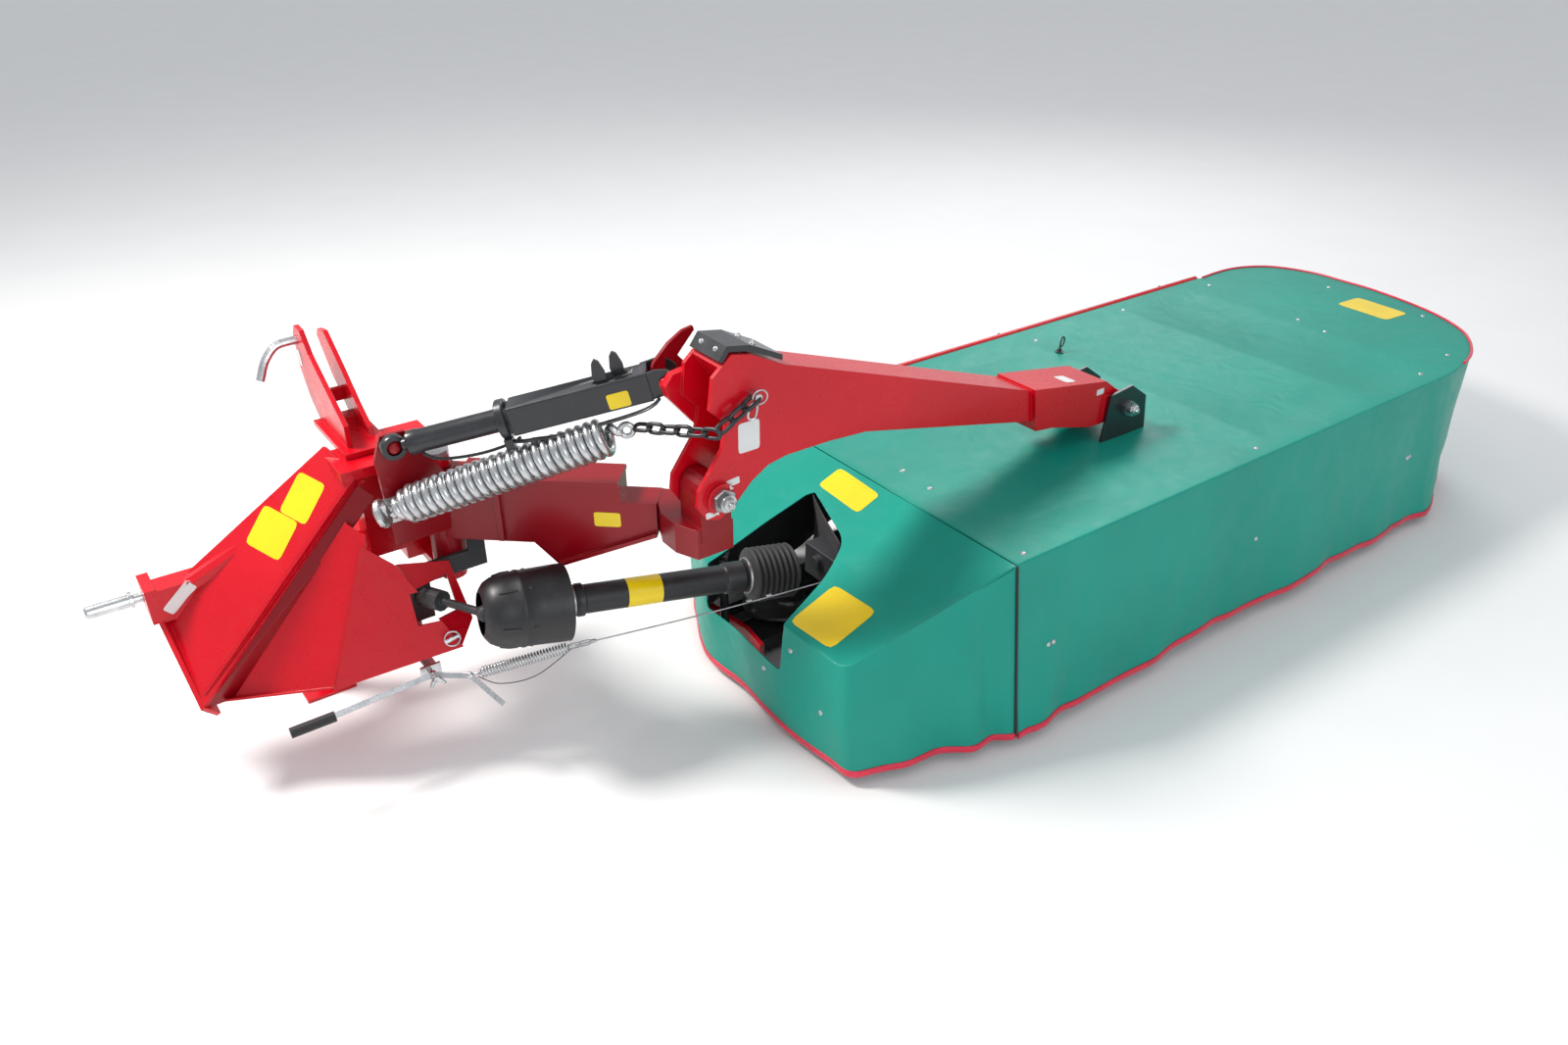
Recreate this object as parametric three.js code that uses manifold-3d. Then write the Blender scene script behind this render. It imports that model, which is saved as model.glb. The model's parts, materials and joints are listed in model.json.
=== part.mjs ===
// Rear-mounted disc mower: headstock, swing beam, lift arm and an eight-disc cutterbar under canvas.
// Millimetres, +Z up, +X outward along the cutterbar, +Y in the direction of travel.
// The origin is on the ground, under the middle of the cutterbar's skid line.
import * as THREE from 'three';
import { mergeVertices } from 'three/addons/utils/BufferGeometryUtils.js';
import Module from 'manifold-3d';

const wasm = await Module();
wasm.setup();

// ---------------------------------------------------------------- driving dimensions
const fit = 0.3;                       // gap that seated pieces keep
const running = 6;                     // clearance of pieces that move past each other

const disc = { count: 8, pitch: 390, y: 280, rim: 172, sweep: 232, top: 106, width: 128 };
const bar = { back: 150, front: 410, bottom: 22, top: 64, overhang: 250 };
const skid = { count: 7, width: 250, back: -110, front: 452, nose: 66 };
const rail = { y: -80, size: 110, bottom: 385, from: -1300, to: 1615 };  // the mower's main beam
const shoe = { thick: 16, back: -150, front: 408 };

const hood = {                         // the canvas over the cutterbar, seen from above
  top: 590, skin: 8, back: -572, front: 676,
  seam: -1221, inner: -1735, outer: 1712,
  innerBack: -465, innerFront: 217, frontCorner: -1560,
  slope: 0.381, hem: 42, backFlare: 76, gap: 2,
};
const frontBar = { radius: 15, y: 692, z: 582, from: -1205, to: 1225 };
const frameTube = { radius: 14, drop: 1.2 };
const shaftHole = {                    // plan of the slot that the drive shaft swings through
  plan: [[-1344, 180], [-1424, -80], [-1545, -146], [-1800, -215], [-1800, 200], [-1480, 200]],
  bottom: 240,
};

const tilt = { x: -320, z: 680, pin: 18, plate: 10, back: -186, front: 20 };   // mower on arm
const lift = { x: -1904, z: 833, pin: 22, boss: 46 };                         // arm on beam
const arm = { back: -150, front: -10, plate: 12 };
const swing = { x: -2410, y: 500, pin: 24 };                                  // beam on headstock

const mast = { near: -2600, far: -2524, thick: 14, topY: 963, topZ: 1107, pin: 12.5 };
const link = { left: -3180, right: -2262, y: 815, z: 505, pin: 14, length: 120 };
const sheet = { leg: 14, guard: 6 };

const base = new THREE.Vector3(-2540, 420, 936);     // lift cylinder's base ball
const eye = new THREE.Vector3(-1930, 48, 1106);      // and the ball of its rod, beside the arm
const ram = { barrel: 33, sleeve: 42, bore: 37, start: 40, barrelEnd: 520, sleeveStart: 285, ball: 20, end: 26 };

const drive = {                        // gearbox on the swing beam, shaft to the mower
  from: new THREE.Vector3(-2458, 190, 506),
  to: new THREE.Vector3(-1500, -5, 402),
  joint: 12, ball: 24, inner: 35, tube: 41, bell: 108, bellLength: 232,
  innerEnd: 690, tubeStart: 258, tubeEnd: 800, bellows: 82, bellowsStart: 772, bellowsEnd: 925,
};
const coil = { radius: 55, from: new THREE.Vector3(-2590, 410, 764), to: new THREE.Vector3(-2056, 76, 976) };
const chain = { radius: 9, ring: new THREE.Vector3(-1800, -176, 1098) };
const leg = { x: -2760, y: 852, size: 54, foot: 150, plate: 10, top: 560 };   // parking stand
const lever = {                        // release lever under the guard, its spring and cable
  grip: new THREE.Vector3(-2964, 316, 262), neck: new THREE.Vector3(-2852, 312, 266),
  pivot: new THREE.Vector3(-2577, 308, 284), hook: new THREE.Vector3(-2500, 226, 298),
  toe: new THREE.Vector3(-2452, 132, 236), springEnd: new THREE.Vector3(-2232, 92, 366),
  mouth: new THREE.Vector3(-1690, -82, 414), hidden: 200, spring: 17, cable: 3.5,
};

// ---------------------------------------------------------------- materials
const finish = (color, roughness, metalness) => new THREE.MeshStandardMaterial({ color, roughness, metalness });
const red = finish(0xc4101a, 0.35, 0.1);
const canvas = finish(0x008a72, 0.45, 0.0);
const black = finish(0x1b1c1f, 0.5, 0.1);
const zinc = finish(0xb9bcbf, 0.35, 0.9);
const steel = finish(0x8d9094, 0.4, 0.9);
const rubber = finish(0x17181a, 0.8, 0.0);
const iron = finish(0x3a3d42, 0.6, 0.3);

// ---------------------------------------------------------------- shape helpers
const V = (x, y, z) => new THREE.Vector3(x, y, z);

function toSolid(geometry) {
  const bare = geometry.clone();
  bare.deleteAttribute('normal');
  bare.deleteAttribute('uv');
  const merged = mergeVertices(bare, 1e-4);
  return new wasm.Manifold(new wasm.Mesh({
    numProp: 3,
    vertProperties: new Float32Array(merged.attributes.position.array),
    triVerts: new Uint32Array(merged.index.array),
  }));
}

function toGeometry(solid) {
  const mesh = solid.getMesh();
  const geometry = new THREE.BufferGeometry();
  geometry.setAttribute('position', new THREE.BufferAttribute(new Float32Array(mesh.vertProperties), 3));
  geometry.setIndex(new THREE.BufferAttribute(new Uint32Array(mesh.triVerts), 1));
  geometry.computeVertexNormals();
  return geometry;
}

const join = (...parts) => toGeometry(parts.map(toSolid).reduce((sum, part) => sum.add(part)));
const cut = (body, ...tools) => toGeometry(
  tools.map(toSolid).reduce((left, tool) => left.subtract(tool), toSolid(body)));

function block(x0, x1, y0, y1, z0, z1) {
  return new THREE.BoxGeometry(x1 - x0, y1 - y0, z1 - z0)
    .translate((x0 + x1) / 2, (y0 + y1) / 2, (z0 + z1) / 2);
}

// a round bar between two points; a second radius makes it a cone
function rod(a, b, radius, sides = 12, endRadius = radius) {
  const along = b.clone().sub(a);
  const geometry = new THREE.CylinderGeometry(endRadius, radius, along.length(), sides);
  const turn = new THREE.Quaternion().setFromUnitVectors(V(0, 1, 0), along.clone().normalize());
  return geometry.applyQuaternion(turn).translate((a.x + b.x) / 2, (a.y + b.y) / 2, (a.z + b.z) / 2);
}

// the tool that cuts a hole for a pin of this radius, with the seated gap all round
const bore = (a, b, radius, gap = fit) => rod(a, b, (radius + gap) / Math.cos(Math.PI / 16), 16);

// a turned ring along a line: its profile closes on itself and never reaches the axis
function ring(a, b, profile, sides = 20) {
  const along = b.clone().sub(a).normalize();
  const points = [...profile, profile[0]].map(([s, r]) => new THREE.Vector2(r, s));
  const turn = new THREE.Quaternion().setFromUnitVectors(V(0, 1, 0), along);
  return new THREE.LatheGeometry(points, sides).applyQuaternion(turn).translate(a.x, a.y, a.z);
}

const ball = (at, radius) => new THREE.SphereGeometry(radius, 12, 8).translate(at.x, at.y, at.z);

// a turned piece along a line: profile is a list of [distance along, radius]
function turned(a, b, profile, sides = 16) {
  const along = b.clone().sub(a).normalize();
  const first = profile[0];
  const last = profile[profile.length - 1];
  const points = [];
  if (first[1] > 0) points.push(new THREE.Vector2(0, first[0]));
  for (const [s, r] of profile) points.push(new THREE.Vector2(r, s));
  if (last[1] > 0) points.push(new THREE.Vector2(0, last[0]));
  const turn = new THREE.Quaternion().setFromUnitVectors(V(0, 1, 0), along);
  return new THREE.LatheGeometry(points, sides).applyQuaternion(turn).translate(a.x, a.y, a.z);
}

function outline(points) {
  const shape = new THREE.Shape();
  points.forEach(([a, b], i) => (i ? shape.lineTo(a, b) : shape.moveTo(a, b)));
  shape.closePath();
  return shape;
}

// plates: an outline in XZ, YZ or XY given a thickness along the third axis
function plateY(points, y0, y1) {
  const geometry = new THREE.ExtrudeGeometry(outline(points), { depth: y1 - y0, bevelEnabled: false });
  return geometry.rotateX(Math.PI / 2).translate(0, y1, 0);
}

function plateX(points, x0, x1) {
  const geometry = new THREE.ExtrudeGeometry(outline(points), { depth: x1 - x0, bevelEnabled: false });
  const turn = new THREE.Matrix4().makeBasis(V(0, 1, 0), V(0, 0, 1), V(1, 0, 0));
  return geometry.applyMatrix4(turn).translate(x0, 0, 0);
}

function plateZ(points, z0, z1) {
  const geometry = new THREE.ExtrudeGeometry(outline(points), { depth: z1 - z0, bevelEnabled: false });
  return geometry.translate(0, 0, z0);
}

// a flat sheet through corner points in space; depth is laid off against its normal
function panel(corners, depth) {
  const normal = V(0, 0, 0);
  corners.forEach((p, i) => {
    const q = corners[(i + 1) % corners.length];
    normal.x += (p.y - q.y) * (p.z + q.z);
    normal.y += (p.z - q.z) * (p.x + q.x);
    normal.z += (p.x - q.x) * (p.y + q.y);
  });
  normal.normalize();
  const right = corners[1].clone().sub(corners[0]).normalize();
  right.sub(normal.clone().multiplyScalar(right.dot(normal))).normalize();
  const up = normal.clone().cross(right);
  const flat = corners.map((p) => {
    const d = p.clone().sub(corners[0]);
    return [d.dot(right), d.dot(up)];
  });
  const geometry = new THREE.ExtrudeGeometry(outline(flat), { depth, bevelEnabled: false });
  const place = new THREE.Matrix4().makeBasis(right, up, normal);
  return geometry.translate(0, 0, -depth).applyMatrix4(place)
    .translate(corners[0].x, corners[0].y, corners[0].z);
}

// a round bar along a smooth curve through the points
function bent(points, radius, sides, steps) {
  const path = new THREE.CatmullRomCurve3(points, false, 'centripetal');
  const section = new THREE.Shape();
  for (let i = 0; i < sides; i += 1) {
    const a = (2 * Math.PI * i) / sides;
    if (i) section.lineTo(radius * Math.cos(a), radius * Math.sin(a));
    else section.moveTo(radius, 0);
  }
  section.closePath();
  return new THREE.ExtrudeGeometry(section, { steps, extrudePath: path, bevelEnabled: false });
}

const reversed = (points) => points.slice().reverse();
const lerp = (a, b, t) => a.clone().lerp(b, t);
const slopeZ = (x) => hood.top + hood.slope * (x - hood.seam);

const machine = new THREE.Group();
function piece(name, geometry, material) {
  const mesh = new THREE.Mesh(geometry, material);
  mesh.name = name;
  machine.add(mesh);
}

// ---------------------------------------------------------------- headstock
// The headstock's left leg is a broad folded plate that leans out, back and down from the mast.
const legTip = V(-3138, 543, 270);
const legPin = V(-3165, 801, 500);
const legTop = V(-2653, 676, 870);
const legBack = V(-2626, 522, 830);
const crossZ = 505;

function headstockFrame() {
  const strip = panel([legTip, legBack, legTop, legPin], sheet.leg);
  const flange = panel([legTip, legPin, V(-3128, 800, 440), V(-3104, 560, 225)], sheet.leg);
  const backFlange = panel([V(-3106, 585, 262), V(-2626, 534, 780), legBack, V(-3112, 545, 300)], sheet.leg);
  const mastFoot = block(-2660, -2440, 530, 690, 818, 846);
  const post = block(-2600, -2480, 610, 690, 525, 830);
  const crossBeam = block(-3150, -2290, 740, 815, crossZ - 55, crossZ + 45);
  const leftCheek = block(-3172, -3142, 740, 850, 452, 556);
  const rightCheek = block(link.right - 14, link.right + 14, 700, 850, 430, 590);
  const rightLeg = rod(V(-2312, 770, 520), V(-2480, 650, 815), 62, 4);
  const brace = rod(V(-2560, 650, 800), V(-3100, 770, crossZ), 26, 8);
  const knuckles = [[815, 845], [462, 488]].flatMap(([z0, z1]) => [
    rod(V(swing.x, swing.y, z0), V(swing.x, swing.y, z1), 38, 16),
    block(swing.x - 38, swing.x + 38, swing.y, 690, z0, z1)]);
  const web = block(swing.x - 80, swing.x + 44, 650, 745, 462, 845);
  const legGuides = [[leg.top - 150, leg.top - 110], [leg.top - 50, leg.top - 20]].map(([z0, z1]) => block(
    leg.x - 50, leg.x + 50, 800, leg.y + 46, z0, z1));
  const legPlate = block(leg.x - 50, leg.x + 50, 800, 816, leg.top - 150, leg.top - 20);
  const body = join(strip, flange, backFlange, mastFoot, post, crossBeam, leftCheek, rightCheek, rightLeg,
    brace, ...knuckles, web, ...legGuides, legPlate);
  const half = leg.size / 2 + fit;
  return cut(
    body,
    bore(V(swing.x, swing.y, 440), V(swing.x, swing.y, 860), swing.pin),
    bore(V(-3240, link.y, link.z), V(-3090, link.y, link.z), link.pin),
    bore(V(-2330, link.y, link.z), V(-2200, link.y, link.z), link.pin),
    block(leg.x - half, leg.x + half, leg.y - half, leg.y + half, 380, 600),
  );
}

// Two curved plates carry the top link pin; a tab and a foot plate tie them together.
const nearMast = [
  [640, 847], [860, 847], [938, 905], [990, 985], [990, 1085], [963, 1119], [915, 1117],
  [865, 1060], [740, 985], [640, 925],
];
const farMast = [
  [670, 847], [830, 847], [860, 880], [960, 960], [1040, 1050], [1022, 1075], [965, 1085],
  [860, 1010], [760, 930], [690, 885],
];

function mastPlates() {
  const foot = block(mast.near - 20, mast.far + 34, 600, 880, 846 + fit, 862);
  const near = plateX(nearMast, mast.near, mast.near + mast.thick);
  const far = plateX(farMast, mast.far, mast.far + mast.thick);
  const bridge = block(mast.near + 2, mast.far + 12, 800, 852, 862, 880);
  const tab = block(mast.far - 40, mast.far + 4, 872, 884, 905, 945);
  const body = join(foot, near, far, bridge, tab);
  const z = mast.topZ - 32;
  return cut(body, bore(V(mast.near - 30, mast.topY, z), V(mast.near + 40, mast.topY, z), mast.pin));
}

function topPin() {
  const z = mast.topZ - 32;
  return bent([
    V(mast.near + mast.thick + 8, mast.topY, z), V(mast.near - 20, mast.topY, z),
    V(mast.near - 60, mast.topY, z - 6), V(mast.near - 95, mast.topY - 4, z - 40),
    V(mast.near - 120, mast.topY - 8, z - 92),
  ], mast.pin, 10, 14);
}

function linkPin(x, side) {
  const start = V(x + side * 12, link.y, link.z);
  const end = V(x + side * (12 + link.length), link.y, link.z);
  const profile = [[-24, 14], [0, 14], [0, 24], [10, 24], [10, 18.3], [link.length - 6, 18.3], [link.length, 14]];
  return turned(start, end, profile, 14);
}

// ---------------------------------------------------------------- drive guard over the gearbox
function driveGuard() {
  const top = [V(-2618, 496, 792), V(-2670, 428, 676), V(-2592, 412, 600), V(-2444, 412, 560)];
  const low = [V(-3076, 548, 268), V(-2824, 385, 304), V(-2486, 290, 352), V(-2430, 340, 400)];
  const hem = [V(-3062, 580, 258), V(-2800, 470, 262), V(-2484, 380, 312)];
  const parts = [0, 1, 2].map((i) => panel([top[i], low[i], low[i + 1], top[i + 1]], sheet.guard));
  parts.push(panel([low[0], hem[0], hem[1], low[1]], sheet.guard));
  parts.push(panel([low[1], hem[1], hem[2], low[2]], sheet.guard));
  const c = coilAt(-30);
  return cut(
    join(...parts),
    rod(V(c.x, 300, c.z), V(c.x, 600, c.z), 74, 20),
    block(-2584, -2464, 300, 450, 434, 526),
  );
}

// ---------------------------------------------------------------- swing beam
const beamLine = { start: V(swing.x, swing.y, 0), end: V(-1990, 132, 0), half: 48 };

function swingBeam() {
  const along = beamLine.end.clone().sub(beamLine.start).normalize();
  const across = V(-along.y, along.x, 0);
  const at = (s, o, z) => V(
    beamLine.start.x + along.x * s + across.x * o, beamLine.start.y + along.y * s + across.y * o, z);
  const length = beamLine.end.distanceTo(beamLine.start);
  const mid = length * 0.46;
  const body = panel([
    at(14, -48, 606), at(mid + 10, -48, 606), at(mid + 72, -48, 540), at(length + 60, -48, 648),
    at(length + 60, -48, 745), at(length - 40, -48, 745), at(length - 40, -48, 802), at(14, -48, 802),
  ], 2 * beamLine.half);
  const lowFlange = panel([at(mid + 80, 62, 538), at(length + 60, 62, 648), at(length + 60, -62, 648),
    at(mid + 80, -62, 538)], 12);
  const topFlange = panel([at(70, -60, 808), at(length - 40, -60, 808), at(length - 40, 60, 808),
    at(70, 60, 808)], 12);
  const rib = panel([at(172, -60, 612), at(186, -60, 612), at(186, -60, 800), at(172, -60, 800)], 20);
  const knuckle = rod(V(swing.x, swing.y, 494), V(swing.x, swing.y, 809), 50, 16);
  const nose = plateZ([[-1990, 10], [-1990, -60], [-1962, -128], [-1850, -128], [-1850, 60], [-1930, 150]],
    654, 742);
  const gap = arm.plate + running;
  const post = block(-1950, -1858, arm.back + gap, arm.front - gap, 700, 833);
  const boss = rod(V(lift.x, arm.back + gap, lift.z), V(lift.x, arm.front - gap, lift.z), lift.boss, 20);
  const horn = plateY([[-2572, 640], [-2420, 640], [-2400, 800], [-2500, 965], [-2566, 965], [-2590, 900]],
    base.y + 18, base.y + 30);
  const stub = rod(V(base.x, base.y - 18, base.z), V(base.x, base.y + 30, base.z), 9, 12);
  const body2 = join(body, lowFlange, topFlange, rib, knuckle, nose, post, boss, horn, stub,
    ball(base, ram.ball));
  return cut(
    body2,
    bore(V(swing.x, swing.y, 440), V(swing.x, swing.y, 860), swing.pin, 0.6),
    bore(V(lift.x, -200, lift.z), V(lift.x, 50, lift.z), lift.pin),
  );
}

// ---------------------------------------------------------------- lift arm
const armSide = [
  [-1945, 779], [-1972, 822], [-1966, 866], [-1930, 915], [-1893, 965], [-1878, 1035], [-1925, 1080],
  [-1915, 1165], [-1858, 1215], [-1800, 1203], [-1693, 1150], [-712, 822], [-705, 722], [-1418, 885],
  [-1548, 893], [-1690, 893], [-1750, 882], [-1803, 850], [-1862, 792], [-1905, 768],
];
const armWeb = [
  [-1858, 1215], [-1800, 1203], [-1693, 1150], [-712, 822], [-705, 722], [-1418, 885], [-1548, 893],
  [-1690, 893], [-1750, 882], [-1803, 850], [-1795, 870], [-1800, 1060], [-1890, 1185],
];

function liftArm() {
  const near = plateY(armSide, arm.back, arm.back + arm.plate);
  const far = plateY(armSide, arm.front - arm.plate, arm.front);
  const box = plateY(armWeb, arm.back + 2, arm.front - 2);
  const nearBoss = rod(V(lift.x, arm.back - 14, lift.z), V(lift.x, arm.back + 2, lift.z), 44, 20);
  const farBoss = rod(V(lift.x, arm.front - 2, lift.z), V(lift.x, arm.front + 14, lift.z), 44, 20);
  const head = plateY([[-757, 845], [-735, 700], [-663, 692], [-475, 642], [-345, 640], [-345, 735],
    [-420, 790]], arm.back - 16, arm.front + 8);
  const tongue = plateY([[-420, 650], [-320, 638], [-285, 655], [-280, 700], [-310, 722], [-420, 740]],
    tilt.back + tilt.plate + running, tilt.front - tilt.plate - running);
  const ear = plateY([[-1960, 1075], [-1885, 985], [-1840, 1000], [-1860, 1110], [-1905, 1142],
    [-1945, 1136], [-1968, 1108]], arm.front - 2, eye.y - ram.end - 8);
  const body = join(near, far, box, nearBoss, farBoss, head, tongue, ear);
  return cut(
    body,
    bore(V(lift.x, -250, lift.z), V(lift.x, 80, lift.z), lift.pin),
    bore(V(tilt.x, -250, tilt.z), V(tilt.x, 80, tilt.z), tilt.pin),
  );
}

function kneeCover() {
  return plateY([[-1880, 1196], [-1862, 1221], [-1800, 1210], [-1700, 1162], [-1700, 1178],
    [-1798, 1226], [-1868, 1238], [-1894, 1204]], arm.back + 4, arm.front - 4);
}

// a headed pin along Y with a nut at the far end
function crossPin(x, z, radius, y0, y1, head) {
  return join(
    rod(V(x, y0, z), V(x, y1, z), radius, 16),
    rod(V(x, y0 - 14, z), V(x, y0, z), head, 6),
    rod(V(x, y0 - 26, z), V(x, y0 - 14, z), radius * 0.75, 12),
    rod(V(x, y1, z), V(x, y1 + 14, z), head, 6),
  );
}

// ---------------------------------------------------------------- lift cylinder and transport lock
const ramAt = (s) => {
  const along = eye.clone().sub(base).normalize();
  return base.clone().addScaledVector(along, s);
};
const ramLength = base.distanceTo(eye);

function ramBarrel() {
  const collar = ring(V(base.x, base.y - 12, base.z), V(base.x, base.y + 12, base.z),
    [[0, ram.ball + 0.8], [0, 34], [24, 34], [24, ram.ball + 0.8]], 16);
  const neck = rod(ramAt(27), ramAt(ram.start + 10), 16, 12);
  const tube = rod(ramAt(ram.start), ramAt(ram.barrelEnd), ram.barrel, 16);
  return join(collar, neck, tube);
}

function ramSleeve() {
  const length = ramLength - ram.sleeveStart - 62;
  const shell = ring(ramAt(ram.sleeveStart), eye, [[0, ram.bore], [0, ram.sleeve + 10], [26, ram.sleeve + 10],
    [26, ram.sleeve], [length, ram.sleeve], [length, 12], [length - 12, 12], [length - 12, ram.bore]], 8);
  const rodBar = rod(ramAt(ramLength - 84), ramAt(ramLength - 8), 17, 12);
  return join(shell, rodBar, ball(eye, ram.end));
}

// ---------------------------------------------------------------- balance spring and its chain
const coilAt = (s) => {
  const along = coil.to.clone().sub(coil.from).normalize();
  return coil.from.clone().addScaledVector(along, s);
};
const coilLength = coil.from.distanceTo(coil.to);

function balanceSpring() {
  return turned(coilAt(0), coilAt(coilLength), [
    [-1.4, 1], [8, 8], [22, 18], [44, 34], [70, coil.radius], [coilLength - 40, coil.radius], [coilLength - 20, 34],
    [coilLength - 10, 10], [coilLength + 14, 10],
  ], 16);
}

// The chain leaves the spring's hook, bears on the edge of the arm and ends at a pin in its side.
function chainRun() {
  const start = coilAt(coilLength + 36);
  const edge = V(-1925, -172, 1030);
  return join(
    rod(start, edge, chain.radius, 8),
    ball(edge, chain.radius + 2),
    rod(edge, chain.ring, chain.radius, 8),
    rod(V(chain.ring.x, chain.ring.y - 20, chain.ring.z), V(chain.ring.x, arm.back - fit, chain.ring.z), 12, 10),
  );
}

function springAnchor() {
  const face = base.y + 18 - fit;
  const disk = turned(coilAt(-24), coilAt(0), [[0, 34], [6, 40], [18, 40], [22, 34]], 20);
  const { x, z } = coilAt(-14);
  const shelf = block(x - 8, x + 8, 400, face, z - 30, z + 30);
  const foot = block(x - 8, -2484, face - 9, face, z - 44, z + 30);
  return join(cut(disk, block(-2700, -2500, face - 5, 500, 600, 900)), shelf, foot);
}

// ---------------------------------------------------------------- gearbox, cone guard and drive shaft
const shaftAt = (s) => {
  const along = drive.to.clone().sub(drive.from).normalize();
  return drive.from.clone().addScaledVector(along, s);
};

function driveGearbox() {
  const face = V(-2536, 410, 478);
  const joint = shaftAt(drive.joint);
  const body = block(-2600, -2512, 408, 500, 402, 532);
  const bracket = block(-2530, -2332, 430, 446, 502, 558);
  const hanger = block(-2380, -2332, 430, 446, 550, 606 - fit);
  const input = rod(V(-2556, 490, 462), V(-2556, 525, 462), 27, 12);
  const spline = rod(V(-2556, 520, 462), V(-2556, 575, 462), 17.5, 6);
  const output = rod(face, joint, 12, 12);
  const snout = rod(face, lerp(face, joint, 0.32), 30, 12);
  return join(body, bracket, hanger, input, spline, output, snout, ball(joint, drive.ball));
}

// The bell and the inner tube turn about the ball at the gearbox; the outer tube slides along them.
function shaftInner() {
  const shell = ring(shaftAt(0), drive.to, [
    [drive.joint + 8, drive.ball + 0.8], [drive.joint + 8, 33], [drive.joint + 36, drive.inner],
    [drive.innerEnd, drive.inner], [drive.innerEnd, 18], [drive.joint + 34, 18], [drive.joint + 30, drive.ball + 0.8],
  ], 14);
  return shell;
}

function bellGuard() {
  const b = drive.bell;
  const r = drive.inner + fit + 0.8;
  return ring(shaftAt(0), drive.to, [
    [0, 66], [18, 84], [64, b - 10], [150, b - 2], [drive.bellLength - 18, b], [drive.bellLength, b + 2],
    [drive.bellLength, b - 3], [150, b - 9], [76, b - 18], [70, r], [58, r], [54, 82], [22, 74], [4, 60],
  ], 24);
}

function shaftOuter() {
  const r = drive.inner + 1.2;
  return ring(shaftAt(0), drive.to, [
    [drive.tubeStart, r], [drive.tubeStart, drive.tube + 6], [drive.tubeStart + 24, drive.tube + 6],
    [drive.tubeStart + 24, drive.tube], [drive.tubeEnd, drive.tube], [drive.tubeEnd, r],
  ], 14);
}

function bellows() {
  const s0 = drive.bellowsStart;
  const s1 = drive.bellowsEnd;
  const r = drive.tube + fit + 1;
  const b = drive.bellows;
  return ring(shaftAt(0), drive.to, [[s0, r], [s0, r + 10], [s0 + 16, b], [s1 - 8, b], [s1, b - 12],
    [s1, 50], [drive.tubeEnd + 8, 50], [drive.tubeEnd + 4, r]], 20);
}

// ---------------------------------------------------------------- release lever, its spring and cable
function releaseLever() {
  const { grip, neck, pivot, hook, toe } = lever;
  const inner = lerp(grip, neck, 0.5);
  return join(
    rod(inner, pivot, 11, 4), rod(pivot, hook, 11, 4), rod(hook, toe, 10, 4),
    ball(pivot, 13), ball(hook, 11),
    rod(pivot, V(pivot.x, pivot.y + 46, pivot.z), 7, 12),
  );
}

function leverBracket() {
  const p = lever.pivot;
  const plate = block(p.x - 24, p.x + 34, p.y + 28, p.y + 36, p.z - 22, p.z + 12);
  const strap = block(p.x, p.x + 34, p.y + 28, 452, p.z - 22, p.z - 14);
  const riser = block(p.x, p.x + 34, 444, 452, p.z - 22, 402 - fit);
  return cut(join(plate, strap, riser), bore(p, V(p.x, p.y + 60, p.z), 7));
}

function leverGrip() {
  const { grip, neck } = lever;
  const tip = lerp(grip, neck, -0.05);
  const sleeve = rod(tip, neck, 15, 12);
  return cut(sleeve, rod(lerp(grip, neck, 0.5), lever.pivot, 11 + fit, 4));
}

function latchSpring() {
  return turned(lever.hook, lever.springEnd, [[12.8, 4], [32, 5], [42, lever.spring],
    [274, lever.spring], [284, 5], [294, 5]], 10);
}

function latchCable() {
  const along = lever.springEnd.clone().sub(lever.hook).normalize();
  const from = lever.hook.clone().addScaledVector(along, 296);
  const end = lever.mouth.clone().addScaledVector(lever.mouth.clone().sub(from).normalize(), lever.hidden);
  return rod(from, end, lever.cable, 8);
}

// ---------------------------------------------------------------- parking stand
function parkingStand() {
  const half = leg.size / 2;
  const tube = block(leg.x - half, leg.x + half, leg.y - half, leg.y + half, leg.plate - 1, leg.top);
  const foot = block(leg.x - leg.foot / 2, leg.x + leg.foot / 2, leg.y - leg.foot / 2, leg.y + leg.foot / 2,
    0, leg.plate);
  return join(tube, foot);
}

// ---------------------------------------------------------------- mower: bar, skids, discs
const discX = (i) => (i - (disc.count - 1) / 2) * disc.pitch;
const barEnd = discX(disc.count - 1) + bar.overhang;

function cutterbar() {
  const section = [[bar.back, bar.bottom], [bar.front - 60, bar.bottom], [bar.front, bar.bottom + 22],
    [bar.front - 20, bar.top], [bar.back, bar.top]];
  const housing = plateX(section, -barEnd, barEnd);
  const hubs = [];
  for (let i = 0; i < disc.count; i += 1) {
    hubs.push(rod(V(discX(i), disc.y, bar.top - 4), V(discX(i), disc.y, bar.top + 12), 62, 16));
  }
  const driveEnd = block(discX(0) - 100, discX(0) + 30, -66, bar.back + 10, bar.bottom + 6, bar.top);
  const column = rod(V(discX(0) - 35, -14, bar.top - 4), V(discX(0) - 35, -14, 330), 42, 16);
  return join(housing, driveEnd, column, ...hubs);
}

function skidShoe(x) {
  const h = skid.width / 2;
  const profile = [[skid.back, 0], [skid.front - 70, 0], [skid.front - 20, 22], [skid.front, skid.nose],
    [skid.front - 12, skid.nose], [skid.front - 34, 34], [bar.front - 55, bar.bottom - fit],
    [skid.back, bar.bottom - fit]];
  return plateX(profile, x - h, x + h);
}

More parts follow.
